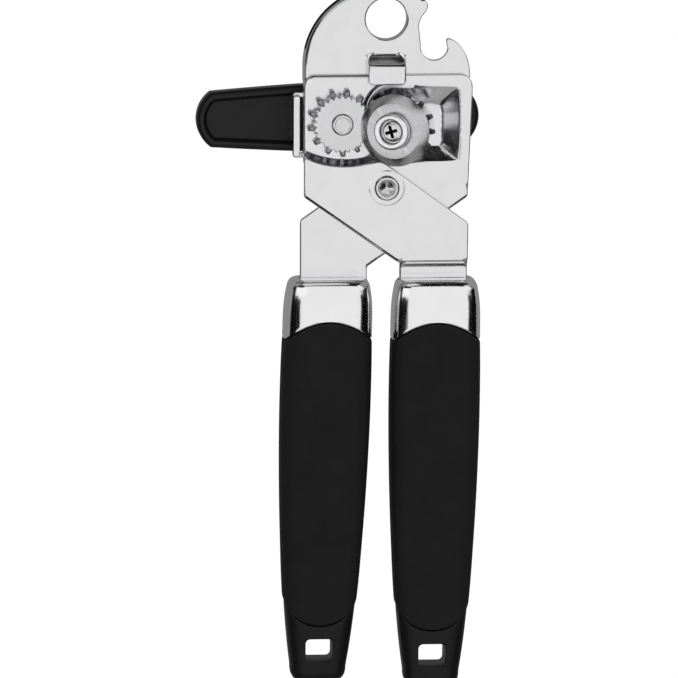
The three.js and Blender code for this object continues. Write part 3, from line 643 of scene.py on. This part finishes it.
neck_lines = [[(x, y) for x in np.arange(2.4, 24.3, 0.9)] for y in
              (*np.linspace(-21.85, -22.5, 6), *np.linspace(-22.8, -24.2, 8), *np.arange(-24.5, -31.5, -0.28))]
boss_lines = [circle(0, 0, r, 0.7) + [(r, 0)] for r in (4.95, 5.1, 5.25, 5.45)]


def plate_edges(front=0.35, back=0.3, broad=0.9, where=None):
    """Rounded edges that run out into a broad chamfer where(outward, points) says so."""
    chamfer = [(broad + 0.2, 0, 0), (broad, 0, 0), (broad * 0.93, 0, -broad * 0.03),
               (broad * 0.05, 0, -broad * 0.56), (0, 0, -broad * 0.65)] + edge_profile(front, back)[5:]

    def rows(number, points):
        share = np.zeros(len(points))
        if where and np.ptp(points[:, 1]) > 30:
            share = where(-inward(points), points)
        return blended(edge_profile(front, back), chamfer, share)
    return rows


def drive_edge(outward, points):
    lower_left = smooth((outward @ (-0.57, -0.82) - 0.55) / 0.3)
    left_top = smooth((outward[:, 1] - 0.6) / 0.3) * (points[:, 1] > 30)
    left_side = 0.2 * smooth((-outward[:, 0] - 0.7) / 0.25)
    return np.maximum(np.maximum(lower_left, left_top), left_side)


finish_piece(sheet("left_jaw_and_lever", drive_loops, drive_height, lambda x, y: drive_height(x, y) - SHEET,
                   plate_edges(broad=0.85, where=drive_edge), joggle_lines + neck_lines + boss_lines, sharp=50), "drive_lever_plate")

# ------------------------------------------------------------------ cutter lever
POCKET_DEPTH = 4.0
pocket_mouth = rounded([(22.0, 7.5, 0.8), (22.0, 29.9, 1.0), (-0.7, 29.7, 1), (-4.5, 26.6, 1), (-5.7, 22.2, 1),
                        (-4.5, 17.9, 1), (-1.3, 14.7, 1), (0.8, 11.5, 1), (0.8, 7.5, 0.8)])
pocket_floor = rounded([(17.2, 11.9, 1.4), (17.2, 23.7, 1.4), (3, 27.7, 1), (-1.2, 25, 1), (-2, 21.8, 1), (-1, 18.5, 1),
                        (1.2, 16, 1), (3.2, 13.4, 1), (3.8, 11.9, 0.8)])


def cutter_height(x, y):
    """Front face of the cutter lever, with the pressed pocket."""
    p = np.stack([x, y], 1)
    inside = contains(pocket_mouth, p)
    height = np.full(len(x), JAW_Z)
    if inside.any():
        q = p[inside]
        to_mouth = distance(pocket_mouth, q)
        to_floor = np.where(contains(pocket_floor, q), 0, distance(pocket_floor, q))
        t = to_mouth / np.maximum(to_mouth + to_floor, 1e-9)
        height[inside] -= POCKET_DEPTH * (1.1 * t - 0.1 * t ** 2)
    return height


right_jaw = rounded([(-0.4, 2), (24.6, 0), (JAW_RIGHT, 28), (JAW_RIGHT, JAW_TOP, 3.4), (-0.4, JAW_TOP, 0.8), (-12, 25),
                     (-12, 12.5), (-0.4, 12.5)])
cutter_arm = rounded([(LEFT["neck"][0], -28), (LEFT["neck"][1], -28), (LEFT["neck"][1], -24, 1.2), (24.5, -3.1, 1.6),
                      (24.6, 6.6), (-2.3, 6.6), (LEFT["neck"][0], -9.9, 1.6)])
tongue_side = [(-60, -60), (JAW_TONGUE + 0.5, -60), (JAW_TONGUE + 0.5, 60), (-60, 60)]
cutter_loops = region(
    [right_jaw, cutter_arm, tang_outline(LEFT, -27), circle(JOGGLE["x"], JOGGLE["y"], JOGGLE["outer"] + 0.5),
     tongue_side, circle(BITE[0], BITE[1], BITE[2] - 0.4), circle(0, 0, RIVET + GAP),
     circle(LEFT["centre"], TANG["pin"], 2.1)],
    lambda jaw, arm, tang, joggle, side, bite, rivet, pin:
        (jaw | arm | tang) & ~(joggle & side & ~bite) & ~rivet & ~pin)


def grown(outline, by):
    loop = np.array(outline)
    return loop - inward(loop) * by


pocket_lines = [list(map(tuple, grown(pocket_mouth, by))) for by in (0.0, -0.5)]
pocket_lines += [list(map(tuple, grown(pocket_floor, by))) for by in (0.0, 0.5)]
pocket_lines = [line + line[:1] for line in [list(map(tuple, even(np.array(l), 0.8))) for l in pocket_lines]]
finish_piece(sheet("right_jaw_and_lever", cutter_loops, cutter_height, lambda x, y: cutter_height(x, y) - SHEET,
                   plate_edges(broad=0.75, where=lambda outward, points: smooth((outward @ (0.5, -0.86) - 0.6) / 0.3)),
                   pocket_lines, grid=1.0, sharp=50), "cutter_lever_plate")

# ------------------------------------------------------------------ pivot
finish_piece(turned("pivot_rivet_head", [
    (0, -4.8), (3.3, -4.8, 0.4), (4, -4.1, 0.3), (4, -3.6, 0.2), (RIVET, -3.6), (RIVET, 4.9), (3.7, 4.9, 0.15),
    (3.75, 5.45, 0.3), (3.25, 5.85, 0.2), (2.6, 5.85, 0.35), (2.0, 4.75, 0.3), (0.35, 4.1, 0.2), (0, 4.1)]), "pivot_rivet")
finish_piece(turned("rear_washer", [
    (2.9, -3.3, 0.15), (5.6, -3.3, 0.25), (5.6, -2.3, 0.25), (2.9, -2.3, 0.15)]), "pivot_rear_washer")

# ------------------------------------------------------------------ crank and drive train


def toothed(count, tip, root, tip_share, root_share, phase=0.0, rounding=0.25):
    corners = []
    pitch = 2 * math.pi / count
    for tooth in range(count):
        for radius, share in ((root, -root_share), (tip, -tip_share), (tip, tip_share), (root, root_share)):
            a = phase + (tooth + share / 2) * pitch
            corners.append((radius * math.cos(a), radius * math.sin(a), rounding))
    return rounded(corners, 3)


def gear(name, phase, low, high, bore, place):
    loops = region([toothed(TEETH, 10.2, 7.9, 0.24, 0.58, phase), circle(0, 0, bore)],
                   lambda rim, hole: rim & ~hole, 1.5)
    return move(sheet(name, loops, flat(high), flat(low), plate_edges(0.5, 0.4), grid=3), place)


mesh_angle = math.atan2(CUTTER[1] - AXLE[1], CUTTER[0] - AXLE[0])
finish_piece(gear("axle_gear", mesh_angle, 2.6, 5.1, 3.4, on_axle), "drive_gear", look=gear_finish)
# The disc gear takes the darker copy of the gear steel, which is painted shade.
finish_piece(gear("disc_gear", math.pi + mesh_angle + math.pi / TEETH, -1, 1, 3.0, on_cutter), "cutter_gear", look=painted_shade_gear_finish)


def feed_height(x, y):
    r = np.hypot(x, y)
    return 8.4 + 0.1 * (1 - smooth((r - 3.9) / 0.9)) - 0.3 * smooth((r - 7.8) / 0.8)


feed_loops = region([toothed(28, 8.6, 7.75, 0.2, 0.86, 0, 0.12), circle(0, 0, 3.2, 0.35)], lambda rim, hole: rim & ~hole, 1.5)
feed_lines = [circle(0, 0, r, 0.6) + [(r, 0)] for r in (3.9, 4.2, 4.5, 4.8, 5.2, 7.3)]
feed = sheet("feed_wheel_disc", feed_loops, feed_height, flat(5.4), plate_edges(0.12, 0.12), feed_lines, grid=1.5)
finish_piece(move(feed, on_axle), "feed_wheel")
finish_piece(turned("axle_rod", [
    (0, -11.4), (3.1, -11.4, 0.3), (3.1, 9.4, 0.5), (2.3, 9.4, 0.1), (2.15, 9.3, 0.1), (0, 9.3)], on_axle), "drive_axle")
finish_piece(turned("bushing_sleeve", [
    (3.4, -5.6, 0.2), (6.6, -5.6, 0.25), (6.6, -4.6, 0.25), (3.9, -4.6, 0.1), (3.9, 2.3, 0.2), (3.4, 2.3, 0.1)],
    on_axle), "axle_bushing")
finish_piece(turned("thrust_ring", [
    (3.4, -6.8, 0.2), (6.4, -6.8, 0.25), (6.4, -5.9, 0.25), (3.4, -5.9, 0.2)], on_axle), "crank_thrust_washer")

CRANK_REST = math.radians(0.6)


def crank_outline(inset=0.0):
    end, tip, shoulder, waist = 42.35 - inset, 10.2, 8.3 - inset, 10.2 - inset
    centre = end - tip
    reach = centre + math.sqrt(tip ** 2 - shoulder ** 2)
    swing = math.degrees(math.asin(shoulder / tip))
    out = bezier((0, waist + 0.2), (-12, waist), (-reach, shoulder), count=40)
    out += arc(-centre, 0, tip, 180 - swing, 180 + swing)[1:]
    out += bezier(out[-1], (-12, -waist), (0, -waist - 0.2), count=40)
    out += bezier(out[-1], (12, -waist), (reach, -shoulder), count=40)
    out += arc(centre, 0, tip, -swing, swing)[1:]
    return out + bezier(out[-1], (12, waist), (0, waist + 0.2), count=40)


crank_rim = crank_outline()


def trough(x, y):
    """Share of the trough's depth, inside the raised rim and clear of the hub."""
    p = np.stack([x, y], 1)
    wall = smooth((distance(crank_rim, p) - 2.0) / 1.1)
    return wall * smooth((np.abs(x) - 11.6) / 1.8)


def crank_front(x, y):
    r = np.hypot(x, y)
    crown = 0.25 * smooth((distance(crank_rim, np.stack([x, y], 1)) - 0.2) / 1.2)
    hub = 0.5 * (1 - smooth((r - 8.4) / 0.8))
    return -7.6 - 0.25 + crown + hub - 1.6 * trough(x, y)


def crank_back(x, y):
    r = np.hypot(x, y)
    recess = 2.0 * (1 - smooth((r - 6.1) / 0.3))
    return -14.0 + 1.6 * trough(x, y) + recess


hexagon = [(5.6 * math.cos(math.radians(60 * k)), 5.6 * math.sin(math.radians(60 * k)), 0.3) for k in range(6)]
crank_loops = region([crank_rim, rounded(hexagon, 3)], lambda rim, hole: rim & ~hole)
crank_lines = []
for inset in (2.0, 2.35, 2.75, 3.1):
    line = [tuple(p) for p in even(grown(crank_rim, -inset), 0.8)]
    crank_lines.append(line + line[:1])
crank_lines += [[(x, y) for y in np.arange(-8, 8.1, 0.8)] for x in (-13.4, -12.8, -12.2, -11.6, 11.6, 12.2, 12.8, 13.4)]
crank_lines += [circle(0, 0, r, 0.8) + [(r, 0)] for r in (6.1, 6.4, 8.4, 9.2)]
crank_edges = edge_profile(1.1, 0.9)
crank = sheet("butterfly_crank", crank_loops, crank_front, crank_back,
              lambda number, points: [np.array([row if number == 0 or len(points) > 200 else (row[0] * 0.2, row[1], row[2] * 0.2)
                                                for _ in points]) for row in crank_edges], crank_lines, grid=1.3)


def crank_place(p):
    c, s = math.cos(CRANK_REST), math.sin(CRANK_REST)
    return on_axle((p[0] * c - p[1] * s, p[0] * s + p[1] * c, p[2]))


finish_piece(move(crank, crank_place), "crank_knob")
finish_piece(turned("crank_end_cap", [
    (0, -13.7), (5.0, -13.7, 0.6), (5.8, -13.3, 0.3), (5.8, -12.3, 0.2), (0, -12.3)], on_axle), "crank_cap")

# ------------------------------------------------------------------ cutter
finish_piece(turned("thrust_ring_cutter", [
    (3.0, -2.2, 0.15), (5.6, -2.2, 0.25), (5.6, -1.3, 0.25), (3.0, -1.3, 0.15)], on_cutter), "cutter_thrust_washer")
finish_piece(turned("spacer_sleeve", [
    (3.0, 1.3, 0.15), (5.0, 1.3, 0.25), (5.0, 5.6, 0.25), (3.0, 5.6, 0.15)], on_cutter), "cutter_spacer")
finish_piece(turned("cutting_disc", [
    (3.0, 5.9, 0.1), (9.9, 5.9, 0.2), (10.8, 6.3, 0.03), (8.3, 7.9, 0.12), (3.0, 7.9, 0.1)], on_cutter, 160, 25),
    "cutting_wheel")
finish_piece(turned("disc_hub", [
    (3.0, 8.2, 0.1), (5.45, 8.2, 0.15), (5.45, 10.3, 0.55), (3.6, 10.3, 0.35), (3.6, 8.6, 0.2), (3.0, 8.6, 0.1)],
    on_cutter), "cutter_hub_washer")


def cross_screw():
    head = turned("cross_screw", [
        (0, 1), (1.5, 1, 0.2), (1.5, 8.9, 0.05), (3.1, 8.9, 0.2), (3.1, 9.5, 0.3), (2.3, 9.85, 0.4), (0, 9.92)], sides=64)
    tools = []
    for turn in (17, 107):
        half_length, half_width, deep = 2.0, 0.5, 6.6
        ring = rounded([(-half_length, -half_width, 0.15), (half_length, -half_width, 0.15),
                        (half_length, half_width, 0.15), (-half_length, half_width, 0.15)], 2)
        c, s = math.cos(math.radians(turn)), math.sin(math.radians(turn))
        points = []
        for share, height in ((0.6, deep), (1.05, 10.4)):
            points += [((x * c * share - y * s), (x * s * share + y * c), height) for x, y in ring]
        n = len(ring)
        faces = [tuple(range(n))[::-1], tuple(range(n, 2 * n))]
        faces += [(i, (i + 1) % n, n + (i + 1) % n, n + i) for i in range(n)]
        tools.append(new_piece("slot", points, faces))
    return carve(head, tools)


screw = cross_screw()
recess = []
for face in screw.data.polygons:
    x, y, z = np.array(face.center) / MM - PIVOT
    if z < 9.84 and math.hypot(x, y) < 2.2:
        recess.append(face.index)
finish_piece(move(screw, on_cutter), "cutter_screw")
# The faces inside the cross recess get a near-black copy of the metal, which is painted shade in the recess.
screw.data.materials.append(metal("cross_recess_painted_shade", (0.05, 0.05, 0.05), 0.5, 0.4))
for number in recess:
    screw.data.polygons[number].material_index = 1

# ------------------------------------------------------------------ handles
STATIONS = np.array([
    (10.2, -27.1, 5.6), (11.2, -27.6, 6.9), (11.75, -28.2, 7.5), (12.15, -29.0, 7.95), (12.45, -30.4, 8.25),
    (13.3, -46, 8.5), (13.5, -62, 8.7), (13.1, -86, 8.3),
    (12.2, -107, 7.5), (11.2, -123, 6.9), (8.8, -144, 6.1), (8.2, -147.6, 5.8), (6.9, -149.3, 4.8)])


def handle_half(y):
    """Half width and half depth of the handle at a height, on a smooth curve through its stations."""
    ys = -STATIONS[:, 1]
    t = np.clip(-np.asarray(y, float), ys[0], ys[-1])
    out = []
    for column in (0, 2):
        v = STATIONS[:, column]
        slope = np.gradient(v, ys)
        k = np.clip(np.searchsorted(ys, t, side="right") - 1, 0, len(ys) - 2)
        h = ys[k + 1] - ys[k]
        u = (t - ys[k]) / h
        out.append((2 * u ** 3 - 3 * u ** 2 + 1) * v[k] + (u ** 3 - 2 * u ** 2 + u) * h * slope[k]
                   + (-2 * u ** 3 + 3 * u ** 2) * v[k + 1] + (u ** 3 - u ** 2) * h * slope[k + 1])
    return out


AROUND = 128


def section():
    """Points round a rounded rectangle of half width and half depth 1, evenly spaced along it."""
    a = np.linspace(0, 2 * np.pi, 20001)
    x = np.sign(np.cos(a)) * np.abs(np.cos(a)) ** (2 / SQUARENESS)
    y = np.sign(np.sin(a)) * np.abs(np.sin(a)) ** (2 / SQUARENESS)
    along = np.concatenate([[0], np.cumsum(np.hypot(np.diff(x), np.diff(y) * 0.65))])
    steps = (np.arange(AROUND) + 0.5) / AROUND * along[-1]
    return np.interp(steps, along, x), np.interp(steps, along, y)


side_share, depth_share = section()


def handle_ring(handle, y, inset, squareness=None):
    """A ring of points round the handle; y may differ from point to point."""
    y = np.broadcast_to(np.asarray(y, float), (AROUND,))
    half_width, half_depth = handle_half(y)
    place = (y - COLLAR_TOP) * handle["stretch"] + COLLAR_TOP - handle["drop"]
    x = handle["centre"] + handle["lean"] * (y + 46) + (half_width - inset) * side_share
    return np.stack([x, place, HANDLE_MIDDLE + (half_depth - inset) * depth_share], 1)


def curve_y(side, middle, shape):
    """The height of an arch or bowl that crosses the handle, at each point round it."""
    return side + (middle - side) * shape(np.clip(np.abs(side_share), 0, 1))


def loft(name, rings, closed=False, sharp=40):
    """Rings joined into a skin: a closed tube, or one with flat ends."""
    points = [tuple(p) for ring in rings for p in ring]
    n = len(rings[0])
    faces = []
    for r in range(len(rings) - (0 if closed else 1)):
        a, b = r * n, ((r + 1) % len(rings)) * n
        faces += [(a + i, a + (i + 1) % n, b + (i + 1) % n, b + i) for i in range(n)]
    if not closed:
        faces += [tuple(range(n))[::-1], tuple(range((len(rings) - 1) * n, len(rings) * n))]
    return new_piece(name, points, faces, sharp)


def slot_tool(handle):
    """The opening in a collar that the sheet of its lever passes through."""
    left, right = handle["neck"]
    outline = region([rounded([(left - GAP, -60), (right + GAP, -60), (right + GAP, 0), (left - GAP, 0)])], lambda a: a, 8)
    return sheet("slot", outline, flat(JAW_Z + GAP), flat(JAW_Z - SHEET - GAP), grid=9)


def add_handle(handle):
    name, body = handle["name"], handle["body"]
    arch = curve_y(-45.2, -39.7, lambda u: 1 - u * u)
    bowl = curve_y(-123.4, -132.0, lambda u: np.sqrt(1 - u * u))

    top = [handle_ring(handle, COLLAR_TOP - d, inset) for d, inset in
           ((0.0, 1.5), (0.0, 0.5), (0.04, 0.12), (0.12, 0.0), (0.25, 0), (0.4, 0), (0.6, 0), (0.85, 0), (1.15, 0),
            (1.5, 0), (2.0, 0), (2.6, 0))]
    shoulder = COLLAR_TOP - 3.3
    ramp = [handle_ring(handle, shoulder + (arch + 0.6 - shoulder) * t, 0) for t in np.linspace(0, 1, 20)]
    lower = [handle_ring(handle, arch + d, inset) for d, inset in ((0.32, 0.04), (0.16, 0.2), (0.15, SKIN))]
    inner = [handle_ring(handle, np.full(AROUND, -31.5), SKIN)]
    cavity = [handle_ring(handle, np.full(AROUND, -31.5), SKIN + 0.5)]
    collar = loft(f"{name}_bolster", top + ramp + lower + inner)
    finish_piece(carve(collar, [slot_tool(handle)]), f"{name}_collar", look=bolster_finish)

    upper = [handle_ring(handle, arch - d, inset) for d, inset in
             ((0.15, SKIN), (0.15, 0.75), (0.22, 0.4), (0.45, 0.14), (0.8, 0.02))]
    length = bowl + 0.9 - (arch - 1.2)
    skin = [handle_ring(handle, arch - 1.2 + length * t, 0) for t in np.linspace(0, 1, 46)]
    bottom = [handle_ring(handle, bowl + d, inset) for d, inset in
              ((0.6, 0.03), (0.3, 0.2), (0.15, 0.5), (0.15, SKIN))]
    finish_piece(loft(f"{name}_sleeve", upper + skin + bottom, True), f"{name}_grip")

    shaft = [handle_ring(handle, -33.0 + (bowl - 0.15 + 33.0) * t, SKIN + GAP) for t in np.linspace(0, 1, 12)]
    lip_rows = [handle_ring(handle, bowl - d, inset) for d, inset in ((0.15, 0.9), (0.3, 0.55), (0.6, 0.38))]
    end_y = STATIONS[-1][1]
    tail = [handle_ring(handle, bowl - 0.9 + (-147.0 - bowl + 0.9) * t, 0.35) for t in np.linspace(0, 1, 20)]
    tip = [handle_ring(handle, y, inset) for y, inset in
           ((-148.0, 0.35), (-148.7, 0.45), (end_y + 0.15, 0.8), (end_y + 0.02, 1.5), (end_y, 2.6))]
    core = loft(f"{name}_handle_end", shaft + lip_rows + tail + tip)
    loop_y = (-139.5 - COLLAR_TOP) * handle["stretch"] + COLLAR_TOP - handle["drop"]
    loop_x = handle["centre"] + handle["lean"] * (-139.5 + 46)
    tools = []
    for part in (1, -1):
        rows = []
        for z, grow in ((-0.5, 0), (5.6, 0.0), (5.95, 0.12), (6.2, 0.45), (7.5, 1.6)):
            ring = rounded([(sx * (4.1 + grow), sy * (3.4 + grow), 1.4) for sx, sy in
                            ((-1, -1), (1, -1), (1, 1), (-1, 1))], 5)
            rows.append([(loop_x + x, loop_y + y, HANDLE_MIDDLE + part * z) for x, y in ring])
        tools.append(loft("loop", rows))
    left, right = handle["neck"]
    for x0, x1, y0 in ((left, right, -33.0), (handle["centre"] - TANG["half"], handle["centre"] + TANG["half"], TANG["foot"])):
        box = region([rounded([(x0 - GAP, y0 - GAP), (x1 + GAP, y0 - GAP), (x1 + GAP, 0), (x0 - GAP, 0)])], lambda a: a, 20)
        tools.append(sheet("slot", box, flat(JAW_Z + GAP), flat(JAW_Z - SHEET - GAP), grid=20))
    finish_piece(carve(core, tools), f"{name}_handle_core")


add_handle(LEFT)
add_handle(RIGHT)

# ------------------------------------------------------------------ floor, light and camera


def stage_material(name, colour, glow=0.0):
    made = bpy.data.materials.new(name)
    made.use_nodes = True
    shader = made.node_tree.nodes["Principled BSDF"]
    for socket, value in (("Base Color", (colour,) * 3 + (1,)), ("Roughness", 0.9), ("Specular IOR Level", 0.0),
                          ("Emission Color", (1, 1, 1, 1)), ("Emission Strength", glow)):
        shader.inputs[socket].default_value = value
    return made


def stage_mesh(name, points, faces, look, **seen):
    """Part of the studio. seen says which rays meet it."""
    mesh = bpy.data.meshes.new(name)
    mesh.from_pydata(points, [], faces)
    mesh.materials.append(look)
    made = bpy.data.objects.new(name, mesh)
    bpy.context.scene.collection.objects.link(made)
    for key, value in seen.items():
        setattr(made, f"visible_{key}", value)
    return made


def square(half, z):
    return [(-half, -half, z), (half, -half, z), (half, half, z), (-half, half, z)]


card_only = dict(camera=False, diffuse=False, shadow=False)
stage_mesh("floor", square(8.0, 0.0), [(0, 1, 2, 3)], stage_material("white_paper", 0.2, 0.97), glossy=False, diffuse=False)
stage_mesh("floor_grey", square(8.0, 0.0), [(0, 1, 2, 3)], stage_material("grey_paper", 0.0, 0.26), camera=False, shadow=False)


def round_card(name, low, high, start, end, look, reach=2.0, step=5):
    """A curved card between two elevations and two azimuths, in degrees, seen only in reflections."""
    parts = max(1, round((end - start) / step))
    points = []
    for k in range(parts + 1):
        a = math.radians(start + (end - start) * k / parts)
        for e in (low, high):
            r, z = reach * math.cos(math.radians(e)), reach * math.sin(math.radians(e))
            points.append((r * math.cos(a), r * math.sin(a), z))
    stage_mesh(name, points, [(2 * k, 2 * k + 2, 2 * k + 3, 2 * k + 1) for k in range(parts)], look, **card_only)


# (lowest and highest elevation, first and last azimuth, brightness) of each card; nearer cards hide those behind
CARDS = [
    (1, 46, 58, 115, 0.004), (1, 54, 115, 166, 0.004), (13, 67, 166, 215, 0.004), (1, 13, 166, 215, 0.22),
    (1, 54, 215, 375, 0.004),
    (1, 30, 15, 58, 0.25), (6, 32, 112, 140, 0.35),
    (1, 20, 232, 258, 0.1), (0.5, 55, 258, 294, 0.36)]
for number, (low, high, start, end, glow) in enumerate(CARDS):
    round_card(f"card_{number}", low, high, start, end, stage_material(f"card_tone_{number}", 0.0, glow), 2.0 - 0.03 * number)

wheel_card = stage_material("card_light", 0.0, 1.0)
card_middle, card_across, card_up = Vector((-0.0546, 0.0515, 0.0979)), Vector((0, 0.021, 0)), Vector((0.028, 0, 0.028))
stage_mesh("card_wheel", [tuple(card_middle + a * card_across + b * card_up) for a, b in
                          ((-1, -1), (1, -1), (1, 1), (-1, 1))], [(0, 1, 2, 3)], wheel_card, **card_only)

WHEEL_MIDDLE = Vector((0.0152, 0.0644, 0.0275))
toward = Vector((-0.32, 0.77, 0.49)).normalized()
across = toward.cross(Vector((0, 0, 1))).normalized()
up = across.cross(toward)
stage_mesh("card_above", [tuple(WHEEL_MIDDLE + 0.08 * toward + 0.033 * (a * across + b * up)) for a, b in
                          ((-1, -0.7), (1, -0.7), (1, 1), (-1, 1))], [(0, 1, 2, 3)],
           stage_material("card_tone_above", 0.0, 0.66), **card_only)

under = [(LOBE[0] + PIVOT[0] + r * math.cos(math.radians(a)), LOBE[1] + PIVOT[1] + r * math.sin(math.radians(a)), 0.5)
         for a in range(98, 171, 8) for r in (21, 50)]
stage_mesh("card_under", [tuple(np.array(p) * MM) for p in under],
           [(2 * k, 2 * k + 1, 2 * k + 3, 2 * k + 2) for k in range(len(under) // 2 - 1)],
           stage_material("card_tone_under", 0.0, 0.004), **card_only)

world = bpy.data.worlds.new("studio")
bpy.context.scene.world = world
world.use_nodes = True
world.node_tree.nodes["Background"].inputs["Color"].default_value = (1, 1, 1, 1)
world.node_tree.nodes["Background"].inputs["Strength"].default_value = 0.88

camera_data = bpy.data.cameras.new("camera")
camera_data.lens = 450.89
camera_data.sensor_width = 36
camera_data.clip_end = 50
camera = bpy.data.objects.new("camera", camera_data)
camera.matrix_world = Matrix.Translation((-0.2125, 0.39, 2.515)) @ (
    Matrix.Rotation(-0.15474, 4, "X") @ Matrix.Rotation(-0.08367, 4, "Y") @ Matrix.Rotation(-0.01073, 4, "Z"))
bpy.context.scene.collection.objects.link(camera)
bpy.context.scene.camera = camera
bpy.context.scene.view_settings.view_transform = "Standard"
